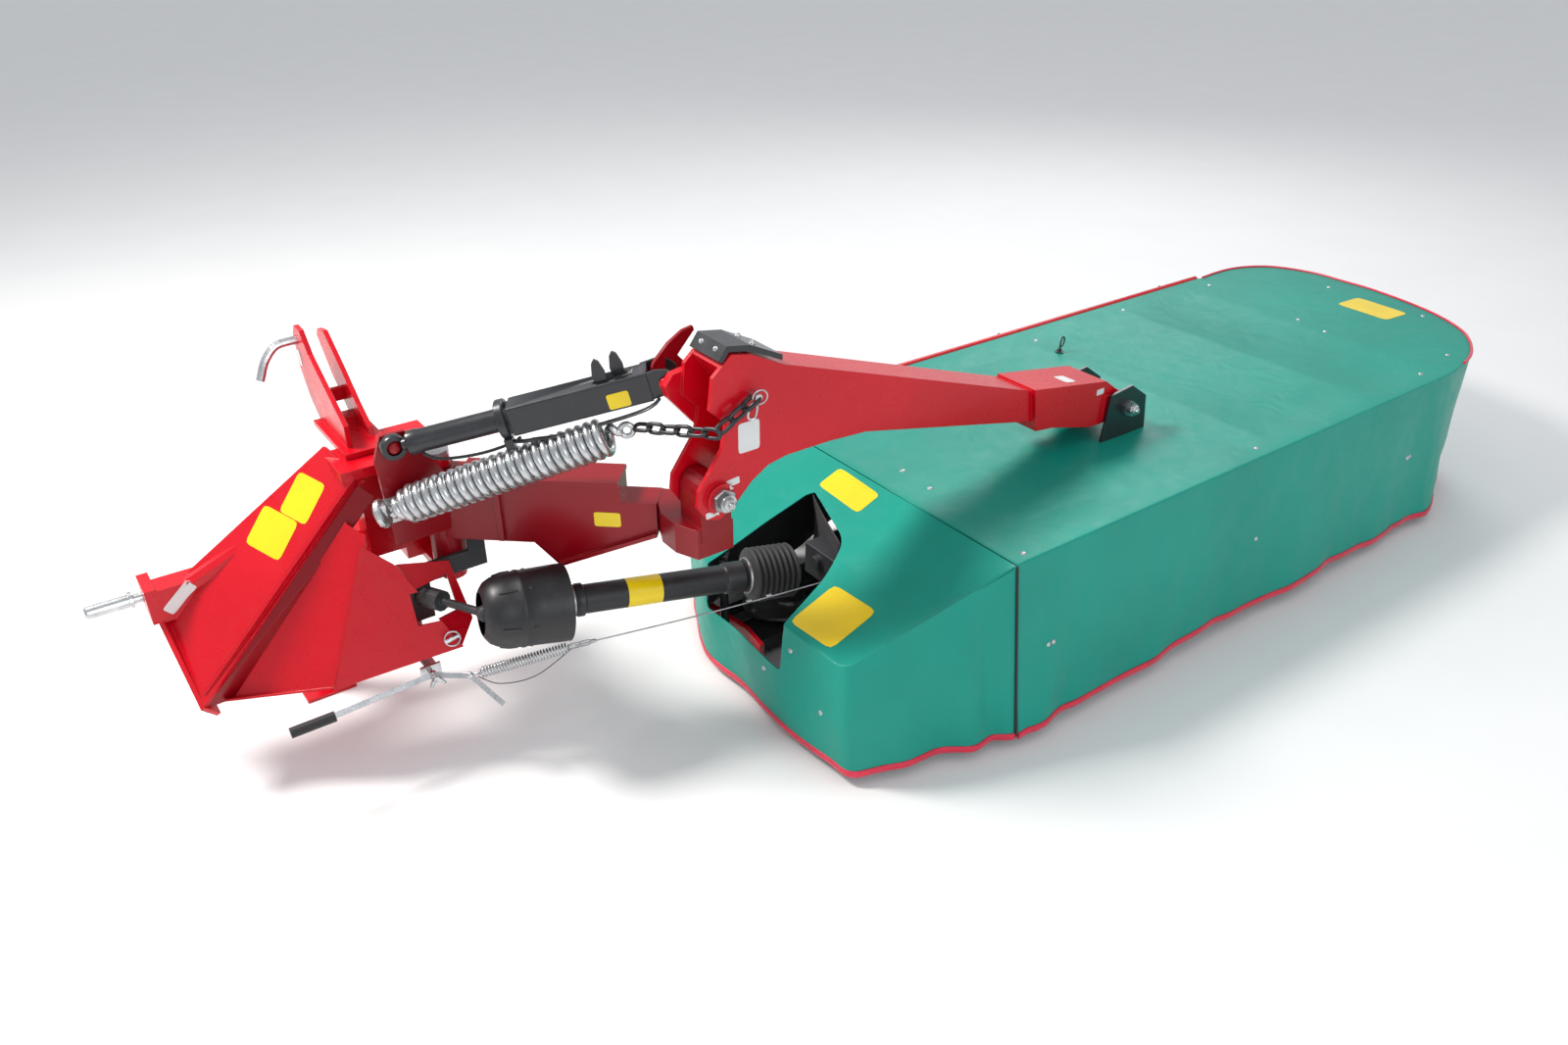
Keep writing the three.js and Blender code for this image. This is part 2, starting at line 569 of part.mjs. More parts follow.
function cuttingDisc(x, phase) {
  const ovalRing = [];
  for (let i = 0; i < 20; i += 1) {
    const a = (2 * Math.PI * i) / 20;
    ovalRing.push([disc.rim * Math.cos(a), disc.width * Math.sin(a)]);
  }
  const low = bar.top + 13;
  const dish = plateZ(ovalRing, low + 8, low + 18);
  const crown = turned(V(0, 0, low), V(0, 0, disc.top), [[0, 58], [10, 70], [26, 62], [disc.top - low, 38]], 16);
  const knife = (side) => block(
    side > 0 ? disc.rim - 60 : -disc.sweep, side > 0 ? disc.sweep : 60 - disc.rim, -24, 24, low + 2, low + 9);
  const bolt = (side) => rod(V(side * (disc.rim - 24), 0, low - 2), V(side * (disc.rim - 24), 0, low + 26), 13, 8);
  const body = join(dish, crown, knife(1), knife(-1), bolt(1), bolt(-1));
  return body.rotateZ(phase).translate(x, disc.y, 0);
}

function mainRail() {
  const half = rail.size / 2;
  const top = rail.bottom + rail.size;
  const tube = block(rail.from, rail.to, rail.y - half, rail.y + half, rail.bottom, top);
  const flange = block(rail.from, rail.from + 14, rail.y - half - 30, rail.y + half + 60, rail.bottom - 50, top);
  const endPlate = block(rail.to - 12, rail.to, rail.y - 90, rail.y + 90, 240, top);
  const saddle = block(tilt.x - 140, tilt.x + 140, tilt.back, tilt.front, top - 2, top + 12);
  return join(tube, flange, endPlate, saddle);
}

function sideShoe(side) {
  const x = side * (barEnd + shoe.thick / 2 + fit);
  const heel = side > 0 ? [[shoe.back, 300], [shoe.back, 200], [20, 34]] : [[70, 120], [70, 40]];
  const back = side > 0 ? [[150, 140], [rail.y + 90, 300]] : [[150, 140]];
  const profile = [...heel, [bar.back - 20, 2], [shoe.front - 60, 2], [shoe.front, 70], [shoe.front, 110],
    ...back];
  return plateX(profile, x - shoe.thick / 2, x + shoe.thick / 2);
}

function pivotBracket() {
  const z0 = rail.bottom + rail.size + 12 + fit;
  const side = [[tilt.x - 118, z0], [tilt.x - 86, 742], [tilt.x + 14, 754], [tilt.x + 92, 700],
    [tilt.x + 118, z0]];
  const near = plateY(side, tilt.back, tilt.back + tilt.plate);
  const far = plateY(side, tilt.front - tilt.plate, tilt.front);
  const floor = block(tilt.x - 118, tilt.x + 118, tilt.back, tilt.front, z0, z0 + 10);
  return cut(join(near, far, floor), bore(V(tilt.x, -260, tilt.z), V(tilt.x, 90, tilt.z), tilt.pin));
}

function mowerGearbox() {
  const x = discX(0) - 35;
  const body = block(x - 60, rail.from - fit, rail.y - 50, 66, 336, 440);
  const foot = rod(V(x, -14, 330 + fit), V(x, -14, 340), 50, 16);
  const input = rod(V(x - 78, 0, 404), V(x - 40, 0, 404), 20, 14);
  return join(body, foot, input);
}

// ---------------------------------------------------------------- hood frame and canvas
const arcPoints = [[1225, 668], [1400, 676], [1530, 650], [1643, 570], [1711, 411], [1716, 250], [1712, 123],
  [1660, -132], [1579, -302], [1470, -425], [1297, -525], [1100, -566]];

function shrink(points, by) {
  // moves an open plan line inwards, towards the machine's middle
  return points.map(([x, y], i) => {
    const before = points[Math.max(i - 1, 0)];
    const after = points[Math.min(i + 1, points.length - 1)];
    const dx = after[0] - before[0];
    const dy = after[1] - before[1];
    const size = Math.hypot(dx, dy);
    return [x + (dy / size) * by, y - (dx / size) * by];
  });
}

function hoodFrame() {
  const z = hood.top - hood.skin - frameTube.drop - frameTube.radius;
  const r = frameTube.radius;
  const y0 = hood.back + 34;
  const y1 = frontBar.y - 52;
  const parts = [];
  const line = (a, b) => parts.push(rod(a, b, r, 8));
  line(V(hood.seam + 10, y0, z), V(1080, y0, z));
  line(V(hood.seam + 10, y1, z), V(1225, y1, z));
  for (const x of [hood.seam + 24, -620, 20, 620, 1060]) {
    line(V(x, y0 - 4, z), V(x, y1 + 4, z));
    parts.push(block(x - 12, x + 12, rail.y - 30, rail.y + 30, rail.bottom + rail.size + fit, z + 4));
  }
  const rim = [[1060, y0], ...reversed(shrink(arcPoints, 34)), [1190, y1]].map(([x, y]) => V(x, y, z));
  rim.slice(1).forEach((end, i) => line(lerp(end, rim[i], 1.02), lerp(rim[i], end, 1.02)));
  const low = (x) => slopeZ(x) - hood.skin - frameTube.drop - r - 6;
  line(V(hood.seam + 16, y0, z), V(hood.inner + 60, hood.innerBack + 30, low(hood.inner + 60)));
  line(V(hood.seam + 16, y1 - 60, z), V(hood.inner + 60, hood.innerFront - 20, low(hood.inner + 60)));
  line(V(hood.inner + 60, hood.innerBack + 26, low(hood.inner + 60)),
    V(hood.inner + 60, hood.innerBack + 26, 150));
  line(V(hood.inner + 60, hood.innerFront - 16, low(hood.inner + 60)),
    V(hood.inner + 60, hood.innerFront - 16, 150));
  for (const x of [-1000, 0, 1000]) {
    parts.push(plateX([[y1 - 8, z - 14], [frontBar.y + 6, z - 14], [frontBar.y + 24, frontBar.z - 16],
      [frontBar.y + 24, frontBar.z + 8], [frontBar.y - 13, frontBar.z - 5], [y1 - 8, z + 6]], x - 5, x + 5));
  }
  const hinge = bore(V(-1100, frontBar.y, frontBar.z), V(1100, frontBar.y, frontBar.z), frontBar.radius, 0.6);
  return cut(join(...parts), hinge);
}

function topCanvas() {
  const back = hood.back;
  const plan = [[hood.seam + hood.gap, back], [hood.seam + hood.gap, hood.front], [1225, hood.front - 6],
    ...arcPoints.slice(1), [1000, back]];
  const sheetTop = plateZ(reversed(plan), hood.top - hood.skin, hood.top);
  const slot = (y0, y1) => block(tilt.x - 128, tilt.x + 128, y0 - running, y1 + running, 560, 620);
  return cut(sheetTop, slot(tilt.back, tilt.back + tilt.plate), slot(tilt.front - tilt.plate, tilt.front));
}

function rearCurtain() {
  const z = hood.top - hood.skin - 2;
  const y = hood.back + 4;
  const yLow = y - hood.backFlare;
  return panel([V(hood.seam + hood.gap, y, z), V(-1219, yLow, hood.hem), V(1118, yLow - 6, hood.hem),
    V(1000, y, z)], hood.skin);
}

function innerCanvas() {
  const x0 = hood.seam - hood.gap;
  const t = hood.skin;
  const seamBack = V(x0, hood.back - 4, hood.top);
  const seamFront = V(x0, hood.front, hood.top);
  const cornerBack = V(hood.inner, hood.innerBack, slopeZ(hood.inner));
  const cornerFront = V(hood.inner, hood.innerFront, slopeZ(hood.inner));
  const front = V(hood.frontCorner, 600, slopeZ(hood.frontCorner));
  const hemSeam = V(x0 - 2, hood.back - 72, hood.hem);
  const hemBack = V(hood.inner, hood.innerBack - 28, hood.hem);
  const hemFront = V(hood.inner, hood.innerFront, hood.hem);
  const hemCorner = V(hood.frontCorner, 600, hood.hem);
  const hemEnd = V(x0, hood.front, hood.hem);
  const roof = panel([seamBack, seamFront, front, cornerFront, cornerBack], t);
  const chamfer = join(panel([seamBack, cornerBack, hemBack], t), panel([seamBack, hemBack, hemSeam], t));
  const end = panel([cornerBack, cornerFront, hemFront, V(hood.inner, hood.innerBack, hood.hem)], t);
  const wedge = panel([cornerBack, V(hood.inner, hood.innerBack, hood.hem), hemBack], t);
  const quarter = panel([cornerFront, front, hemCorner, hemFront], t);
  const fore = panel([front, seamFront, hemEnd, hemCorner], t);
  const body = join(roof, chamfer, end, wedge, quarter, fore);
  return cut(body, plateZ(shaftHole.plan, shaftHole.bottom, 620));
}

function outerCanvas() {
  const outer = arcPoints;
  const inner = shrink(arcPoints, hood.skin);
  return plateZ(reversed([...outer, ...inner.slice().reverse()]), hood.hem, hood.top - hood.skin - fit);
}

function frontCanvas() {
  const y = frontBar.y;
  const skirt = block(frontBar.from + 4, frontBar.to - 10, y - 4, y + 4, 70, frontBar.z);
  const sleeve = rod(V(frontBar.from, y, frontBar.z), V(frontBar.to, y, frontBar.z), frontBar.radius, 12);
  const notches = [-1000, 0, 1000].map((x) => block(x - 12, x + 12, y - 8, y + 8, frontBar.z - 46, frontBar.z - 9));
  return cut(join(skirt, sleeve), ...notches);
}

function shaftFlap() {
  const p = (x, y) => V(x, y, slopeZ(x) - hood.skin - 4);
  const a = p(-1352, 176);
  const b = p(-1420, -40);
  return panel([a, b, V(b.x, b.y, 446), V(a.x, a.y, 446)], 5);
}

// ---------------------------------------------------------------- assembly
piece('headstock_frame', headstockFrame(), red);
piece('top_link_mast', mastPlates(), red);
piece('top_link_pin', topPin(), zinc);
piece('link_pin_left', linkPin(-3172 - 12, -1), zinc);
piece('link_pin_right', linkPin(link.right + 14 + 12, 1), zinc);
piece('drive_guard', driveGuard(), red);
piece('swing_pin', join(
  rod(V(swing.x, swing.y, 452), V(swing.x, swing.y, 852), swing.pin, 16),
  rod(V(swing.x, swing.y, 846 + fit), V(swing.x, swing.y, 862), 38, 16)), steel);
piece('swing_beam', swingBeam(), red);
piece('lift_pin', crossPin(lift.x, lift.z, lift.pin, arm.back - 14 - fit, arm.front + 14 + fit, 34), steel);
piece('lift_arm', liftArm(), red);
piece('knee_cover', kneeCover(), black);
piece('ram_barrel', ramBarrel(), black);
piece('ram_sleeve', ramSleeve(), black);
piece('balance_spring', balanceSpring(), zinc);
piece('spring_anchor', springAnchor(), zinc);
piece('balance_chain', chainRun(), steel);
piece('drive_gearbox', driveGearbox(), iron);
piece('shaft_inner', shaftInner(), black);
piece('bell_guard', bellGuard(), black);
piece('shaft_outer', shaftOuter(), black);
piece('bellows_guard', bellows(), rubber);
piece('release_lever', releaseLever(), zinc);
piece('lever_bracket', leverBracket(), zinc);
piece('lever_grip', leverGrip(), rubber);
piece('latch_spring', latchSpring(), zinc);
piece('latch_cable', latchCable(), steel);
piece('parking_stand', parkingStand(), red);
piece('tilt_pin', crossPin(tilt.x, tilt.z, tilt.pin, tilt.back - fit, tilt.front + fit, 28), steel);
piece('pivot_bracket', pivotBracket(), black);
piece('main_rail', mainRail(), red);
piece('cutterbar', cutterbar(), iron);
for (let i = 0; i < disc.count; i += 1) {
  piece(`disc_${i + 1}`, cuttingDisc(discX(i), (i % 2) * (Math.PI / 2)), steel);
}
for (let i = 0; i < skid.count; i += 1) {
  piece(`skid_${i + 1}`, skidShoe((i - (skid.count - 1) / 2) * disc.pitch), steel);
}
piece('inner_shoe', sideShoe(-1), red);
piece('outer_shoe', sideShoe(1), red);
piece('mower_gearbox', mowerGearbox(), iron);
piece('hood_frame', hoodFrame(), black);
piece('top_canvas', topCanvas(), canvas);
piece('rear_canvas', rearCurtain(), canvas);
piece('inner_canvas', innerCanvas(), canvas);
piece('outer_canvas', outerCanvas(), canvas);
piece('front_guard', frontCanvas(), canvas);
piece('shaft_flap', shaftFlap(), rubber);

export default machine;
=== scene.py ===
"""Rear-mounted disc mower: headstock, swing beam, lift arm, drive shaft and a covered cutterbar."""
import json
import math

import bmesh
import bpy
import numpy as np
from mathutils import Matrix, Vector, noise
from mathutils.bvhtree import BVHTree

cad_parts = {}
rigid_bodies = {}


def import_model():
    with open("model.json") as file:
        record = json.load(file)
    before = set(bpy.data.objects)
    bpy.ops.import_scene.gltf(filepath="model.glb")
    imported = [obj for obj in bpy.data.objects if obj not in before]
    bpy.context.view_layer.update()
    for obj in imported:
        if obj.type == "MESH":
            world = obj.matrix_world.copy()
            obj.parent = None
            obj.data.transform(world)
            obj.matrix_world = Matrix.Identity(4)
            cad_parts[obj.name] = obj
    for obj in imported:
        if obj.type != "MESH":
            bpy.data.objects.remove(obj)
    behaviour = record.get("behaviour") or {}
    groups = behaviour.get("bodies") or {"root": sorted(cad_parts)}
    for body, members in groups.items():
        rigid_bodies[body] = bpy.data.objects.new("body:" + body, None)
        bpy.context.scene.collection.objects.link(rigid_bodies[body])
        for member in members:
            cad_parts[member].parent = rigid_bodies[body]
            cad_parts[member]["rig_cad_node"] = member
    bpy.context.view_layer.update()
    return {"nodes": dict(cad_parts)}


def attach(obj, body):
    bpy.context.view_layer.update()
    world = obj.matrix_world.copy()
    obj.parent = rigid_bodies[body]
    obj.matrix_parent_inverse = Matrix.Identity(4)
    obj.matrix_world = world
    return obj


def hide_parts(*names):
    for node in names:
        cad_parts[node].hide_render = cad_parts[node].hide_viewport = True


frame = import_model()
NODES = frame["nodes"]


# ---- numbers shared by the pieces
def mm(*xyz):
    return np.array(xyz, float) / 1000


# the cover: height of its top and of its hem, thickness of its cloth and of the rubber flaps
TOP, HEM, SKIN, FLAP_SKIN = 0.590, 0.042, 0.003, 0.004
# its inner seam (x), rear and front edges (y), how far the sides flare, and the inner end's slope
SEAM, BACK, FRONT, FLARE, SLOPE = -1.221, -0.572, 0.676, 0.076, 0.381
# plan of the round outer end, from the front edge to the rear
ARC = [mm(*p) for p in ((1225, 668), (1400, 676), (1530, 650), (1643, 570), (1711, 411), (1716, 250),
                        (1712, 123), (1660, -132), (1579, -302), (1470, -425), (1297, -525), (1100, -566),
                        (1000, -572))]
# lines from end to end, and single points, of the turned and hanging pieces
COIL = mm(-2590, 410, 764), mm(-2056, 76, 976)
SHAFT = mm(-2458, 190, 506), mm(-1500, -5, 402)
RAM = mm(-2540, 420, 936), mm(-1930, 48, 1106)
CHAIN_EDGE, CHAIN_RING = mm(-1925, -174, 1030), mm(-1800, -176, 1098)
HOOK, SPRING_END, MOUTH = mm(-2500, 226, 298), mm(-2232, 92, 366), mm(-1690, -82, 414)


def unit(v):
    return np.array(v, float) / np.linalg.norm(v)


def along(line, distance):
    """A point that many millimetres along a line."""
    return line[0] + unit(line[1] - line[0]) * distance / 1000


def span(line):
    """The length of a line in millimetres."""
    return float(np.linalg.norm(line[1] - line[0])) * 1000


# ---- materials
def nodes_of(name):
    mat = bpy.data.materials.new(name)
    mat.use_nodes = True
    tree = mat.node_tree
    return mat, tree, tree.nodes["Principled BSDF"]


def add(tree, kind, links=(), **values):
    node = tree.nodes.new("ShaderNode" + kind)
    for key, value in values.items():
        if hasattr(node, key):
            setattr(node, key, value)
        else:
            node.inputs[key.replace("_", " ")].default_value = value
    for target, source in links:
        tree.links.new(source, node.inputs[target])
    return node


def stretch(tree, source, low, high, to_low=0.0, to_high=1.0):
    """A value taken from one range to another."""
    node = add(tree, "MapRange", [("Value", source)])
    for key, value in (("From Min", low), ("From Max", high), ("To Min", to_low), ("To Max", to_high)):
        node.inputs[key].default_value = value
    return node.outputs["Result"]


def surface(name, colour, roughness, metallic=0.0, coat=0.0, sheen=0.0, tint=0.1, tint_scale=2.5, grain=0.1,
            grain_size=900, rough_spread=0.12, worn=None, dust=None, rounding=0.0, specular=0.5):
    """A finish that drifts in colour and roughness, with a fine grain and worn or dusty places."""
    mat, tree, bsdf = nodes_of(name)
    place = add(tree, "TexCoord").outputs["Object"]
    drift = add(tree, "TexNoise", [("Vector", place)], Scale=tint_scale, Detail=6.0)
    darker = [c * (1 - tint) for c in colour] + [1]
    lighter = [min(1, c * (1 + tint)) for c in colour] + [1]
    ramp = add(tree, "ValToRGB", [("Fac", drift.outputs["Fac"])])
    ramp.color_ramp.elements[0].position, ramp.color_ramp.elements[0].color = 0.32, darker
    ramp.color_ramp.elements[1].position, ramp.color_ramp.elements[1].color = 0.68, lighter
    shade = ramp.outputs["Color"]
    fine = add(tree, "TexNoise", [("Vector", place)], Scale=tint_scale * 9, Detail=8.0,
               Roughness=0.7).outputs["Fac"]
    rough = stretch(tree, fine, 0.3, 0.7, max(0.03, roughness - rough_spread / 2),
                    min(1, roughness + rough_spread / 2))
    if dust:
        shade = mixed(tree, stretch(tree, fine, 0.52, 0.8, 0.0, dust[3]), shade, dust[:3])
    normal = None
    if rounding:
        normal = add(tree, "Bevel", Radius=rounding, samples=4).outputs["Normal"]
        if worn:
            flat = add(tree, "NewGeometry").outputs["Normal"]
            dot = add(tree, "VectorMath", [(0, normal), (1, flat)], operation="DOT_PRODUCT")
            edge = stretch(tree, dot.outputs["Value"], 0.97, 0.8)
            patchy = add(tree, "Math", [(0, edge), (1, fine)], operation="MULTIPLY")
            shade = mixed(tree, patchy.outputs["Value"], shade, worn)
    if grain:
        pores = add(tree, "TexNoise", [("Vector", place)], Scale=grain_size, Detail=3.0)
        bump = add(tree, "Bump", [("Height", pores.outputs["Fac"])], Strength=grain,
                   Distance=0.0006)
        if normal:
            tree.links.new(normal, bump.inputs["Normal"])
        normal = bump.outputs["Normal"]
    tree.links.new(shade, bsdf.inputs["Base Color"])
    tree.links.new(rough, bsdf.inputs["Roughness"])
    if normal:
        tree.links.new(normal, bsdf.inputs["Normal"])
    for key, value in (("Metallic", metallic), ("Specular IOR Level", specular), ("Coat Weight", coat),
                       ("Coat Roughness", 0.12), ("Sheen Weight", sheen)):
        bsdf.inputs[key].default_value = value
    return mat


def mixed(tree, factor, first, second):
    mix = tree.nodes.new("ShaderNodeMix")
    mix.data_type = "RGBA"
    colours = [s for s in mix.inputs if s.type == "RGBA"]
    tree.links.new(factor, mix.inputs["Factor"])
    tree.links.new(first, colours[0])
    colours[1].default_value = [*second, 1]
    return [s for s in mix.outputs if s.type == "RGBA"][0]


def tarpaulin(name, colour):
    """Coated cloth: a woven ground under a satin coat, soft creases and a little road dust."""
    mat = surface(name, colour, 0.42, tint=0.09, tint_scale=1.7, grain=0, rough_spread=0.16, specular=0.34,
                  dust=(0.02, 0.36, 0.29, 0.1))
    tree = mat.node_tree
    bsdf = tree.nodes["Principled BSDF"]
    place = add(tree, "TexCoord").outputs["Object"]
    creases = add(tree, "TexNoise", [("Vector", place)], Scale=5.5, Detail=4.0, Roughness=0.45)
    creases.inputs["Distortion"].default_value = 0.9
    soft = add(tree, "Bump", [("Height", creases.outputs["Fac"])], Strength=0.28, Distance=0.02)
    threads = [add(tree, "TexWave", [("Vector", place)], Scale=260.0,
                   bands_direction=axis).outputs["Fac"] for axis in ("X", "Y", "Z")]
    weave = threads[0]
    for more in threads[1:]:
        weave = add(tree, "Math", [(0, weave), (1, more)], operation="ADD").outputs["Value"]
    bump = add(tree, "Bump", [("Height", weave), ("Normal", soft.outputs["Normal"])],
               Strength=0.12, Distance=0.0004)
    tree.links.new(bump.outputs["Normal"], bsdf.inputs["Normal"])
    return mat


RED = surface("red paint", (0.58, 0.0, 0.010), 0.3, coat=0.14, specular=0.36, tint=0.08, grain=0.05,
              rounding=0.0035, worn=(0.7, 0.06, 0.06), dust=(0.5, 0.05, 0.045, 0.08))
# A darker copy of the red paint: painted shade for parts that sit in shadow, the swing beam, the guard's lip
# and the hook plate.
SHADED_RED = surface("red paint in painted shade", (0.25, 0.0, 0.005), 0.34, coat=0.14, specular=0.36, grain=0.05,
                   rounding=0.003, worn=(0.6, 0.06, 0.06))
BLACK = surface("black paint", (0.014, 0.015, 0.018), 0.33, coat=0.3, grain=0.08, tint=0.25, rounding=0.003,
                worn=(0.12, 0.12, 0.13), dust=(0.1, 0.1, 0.1, 0.12))
IRON = surface("iron paint", (0.03, 0.032, 0.036), 0.5, grain=0.5, grain_size=320, tint=0.25, rounding=0.004,
               worn=(0.2, 0.2, 0.2), dust=(0.16, 0.14, 0.12, 0.2))
ZINC = surface("zinc plate", (0.56, 0.57, 0.58), 0.3, metallic=0.95, tint=0.14, tint_scale=30, grain=0.12,
               rough_spread=0.2, rounding=0.0015)
STEEL = surface("worn steel", (0.36, 0.36, 0.37), 0.36, metallic=0.9, tint=0.25, tint_scale=12, grain=0.2,
                rough_spread=0.25, rounding=0.002)
CHAIN = surface("dark chain", (0.05, 0.05, 0.055), 0.36, metallic=0.6, tint=0.3, tint_scale=20, grain=0.2)
PLASTIC = surface("black plastic", (0.012, 0.012, 0.014), 0.42, tint=0.3, grain=0.25, grain_size=500,
                  dust=(0.07, 0.07, 0.075, 0.2))
RUBBER = surface("black rubber", (0.011, 0.011, 0.012), 0.62, tint=0.25, grain=0.4, grain_size=260, sheen=0.1,
                 dust=(0.07, 0.068, 0.065, 0.25))
CANVAS = tarpaulin("green canvas", (0.0, 0.285, 0.215))
HEM_CLOTH = surface("red hem tape", (0.66, 0.012, 0.05), 0.42, sheen=0.15, tint=0.12, tint_scale=14,
                    grain=0.6, grain_size=420)
YELLOW = surface("yellow sticker", (0.86, 0.62, 0.0), 0.34, coat=0.3, tint=0.05, tint_scale=9, grain=0.04)
WHITE = surface("white sticker", (0.72, 0.72, 0.71), 0.36, coat=0.2, tint=0.05, tint_scale=9, grain=0.04)


# ---- mesh helpers
def piece(name, data, material, body, nodes=(), smooth=38, bevel=0.0):
    """One object from (points, faces), riding on a body; nodes are the CAD nodes it stands for."""
    points, faces = data
    mesh = bpy.data.meshes.new(name)
    mesh.from_pydata([tuple(map(float, p)) for p in points], [], [tuple(map(int, f)) for f in faces])
    mesh.validate()
    work = bmesh.new()
    work.from_mesh(mesh)
    bmesh.ops.remove_doubles(work, verts=work.verts, dist=1e-6)
    bmesh.ops.recalc_face_normals(work, faces=work.faces)
    work.to_mesh(mesh)
    work.free()
    mesh.shade_smooth()
    mesh.set_sharp_from_angle(angle=math.radians(smooth))
    mesh.materials.append(material)
    obj = bpy.data.objects.new(name, mesh)
    bpy.context.scene.collection.objects.link(obj)
    if bevel:
        step = obj.modifiers.new("edges", "BEVEL")
        step.width, step.segments, step.limit_method, step.angle_limit = bevel, 2, "ANGLE", math.radians(30)
        step.harden_normals = True
    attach(obj, body)
    if nodes:
        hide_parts(*nodes)
    return obj


def gather(*parts):
    points, faces = [], []
    for more, quads in parts:
        start = len(points)
        points += list(more)
        faces += [[i + start for i in q] for q in quads]
    return points, faces


def full_turn(count):
    """Evenly spread angles of one turn."""
    return np.linspace(0, 2 * math.pi, count, endpoint=False)


def directions(path):
    """The unit direction of a path at each of its points."""
    ahead = np.gradient(path, axis=0)
    return ahead / np.linalg.norm(ahead, axis=1)[:, None]


def distances(points):
    """How far along a path each of its points lies."""
    return np.r_[0, np.cumsum(np.linalg.norm(np.diff(points, axis=0), axis=1))]


def path_length(points):
    return float(np.linalg.norm(np.diff(points, axis=0), axis=1).sum())


def square_to(axis):
    """A unit vector square to an axis."""
    return unit(np.cross(axis, (0, 0, 1) if abs(axis[2]) < 0.9 else (1, 0, 0)))


def turn_frames(path):
    """A normal and a side for each point of a path, turned as little as possible."""
    tangent = directions(path)
    normals = [square_to(tangent[0])]
    for t in tangent[1:]:
        normals.append(unit(normals[-1] - t * np.dot(normals[-1], t)))
    return np.array(normals), np.cross(tangent, normals)


def grid_faces(rows, columns, wrap=False):
    last = columns if wrap else columns - 1
    return [[r * columns + c, r * columns + (c + 1) % columns, (r + 1) * columns + (c + 1) % columns,
             (r + 1) * columns + c] for r in range(rows - 1) for c in range(last)]


def ring_faces(rings, sides, closed=False):
    """The skin through rings of points: when closed the last meets the first, else both ends are shut."""
    faces = grid_faces(rings, sides, wrap=True)
    last = (rings - 1) * sides
    if closed:
        return faces + [[last + i, last + (i + 1) % sides, (i + 1) % sides, i] for i in range(sides)]
    return faces + [list(range(sides)), [last + i for i in range(sides)]]


def tube(path, radius, sides=14, wide=1.0):
    """A round or, with wide, an oval bar along a path; radius may change along it."""
    path = np.array(path, float)
    normal, side = turn_frames(path)
    radii = np.broadcast_to(np.array(radius, float), (len(path),))
    angles = full_turn(sides)
    points = [p + r * (math.cos(a) * wide * n + math.sin(a) * s)
              for p, r, n, s in zip(path, radii, normal, side) for a in angles]
    return points, ring_faces(len(path), sides)


def lathe(a, b, profile, sides=56, closed=False):
    """A turned piece on the line from a: profile is (distance, radius) in millimetres."""
    axis = unit(np.array(b) - a)
    n = square_to(axis)
    s = np.cross(axis, n)
    angles = full_turn(sides)
    points = [a + axis * d / 1000 + (math.cos(t) * n + math.sin(t) * s) * r / 1000
              for d, r in profile for t in angles]
    return points, ring_faces(len(profile), sides, closed)


def plate(outline, depth):
    """A flat sheet through corner points in space, thickened along its normal."""
    outline = [np.array(p, float) for p in outline]
    normal = unit(sum(np.cross(p - outline[0], q - outline[0]) for p, q in zip(outline[1:], outline[2:])))
    count = len(outline)
    points = outline + [p + normal * depth for p in outline]
    faces = [list(range(count)), [count + i for i in reversed(range(count))]]
    faces += [[i, (i + 1) % count, count + (i + 1) % count, count + i] for i in range(count)]
    return points, faces


def slab(centre, size, x=(1, 0, 0), z=(0, 0, 1)):
    """A box by centre and size, its long edges along x and its normal along z."""
    x, z = unit(x), unit(z)
    y = unit(np.cross(z, x))
    z = np.cross(x, y)
    half = np.array(size, float) / 2
    points = [np.array(centre) + i * half[0] * x + j * half[1] * y + k * half[2] * z
              for k in (-1, 1) for i, j in ((-1, -1), (1, -1), (1, 1), (-1, 1))]
    return points, [[3, 2, 1, 0], [4, 5, 6, 7], [0, 1, 5, 4], [1, 2, 6, 5], [2, 3, 7, 6], [3, 0, 4, 7]]


def smooth_line(points, count):
    """A Catmull-Rom curve through points, as count evenly spread points."""
    p = [np.array(v, float) for v in points]
    p = [2 * p[0] - p[1], *p, 2 * p[-1] - p[-2]]
    raw = []
    for i in range(1, len(p) - 2):
        for t in np.linspace(0, 1, 16, endpoint=False):
            raw.append(0.5 * ((2 * p[i]) + (p[i + 1] - p[i - 1]) * t
                              + (2 * p[i - 1] - 5 * p[i] + 4 * p[i + 1] - p[i + 2]) * t * t
                              + (3 * p[i] - p[i - 1] - 3 * p[i + 1] + p[i + 2]) * t ** 3))
    raw.append(p[-2])
    return even(raw, count)


def even(points, count):
    """The same line as count evenly spread points."""
    points = np.array(points, float)
    steps = distances(points)
    at = np.linspace(0, steps[-1], count)
    return np.array([[np.interp(s, steps, points[:, k]) for k in range(points.shape[1])] for s in at])


def bolt(at, axis, size=12.0, length=9.0):
    """A hexagon head with a chamfer and a washer, in millimetres."""
    a = np.array(at, float)
    b = a + unit(axis)
    return gather(lathe(a, b, [(0, size * 1.25), (2, size * 1.25)], 20),
                  lathe(a, b, [(2, size * .92), (2, size), (length - 1.5, size), (length, size * .82)], 6),
                  lathe(a, b, [(length, size * .5), (length + size * .35, size * .5),
                               (length + size * .45, size * .4)], 14))


def rivet(at, axis, size=9.0):
    a = np.array(at, float)
    profile = [(-1, size), (1, size), (2.2, size * .85), (3.2, size * .5), (3.5, size * .1)]
    return lathe(a, a + unit(axis), profile, 18)


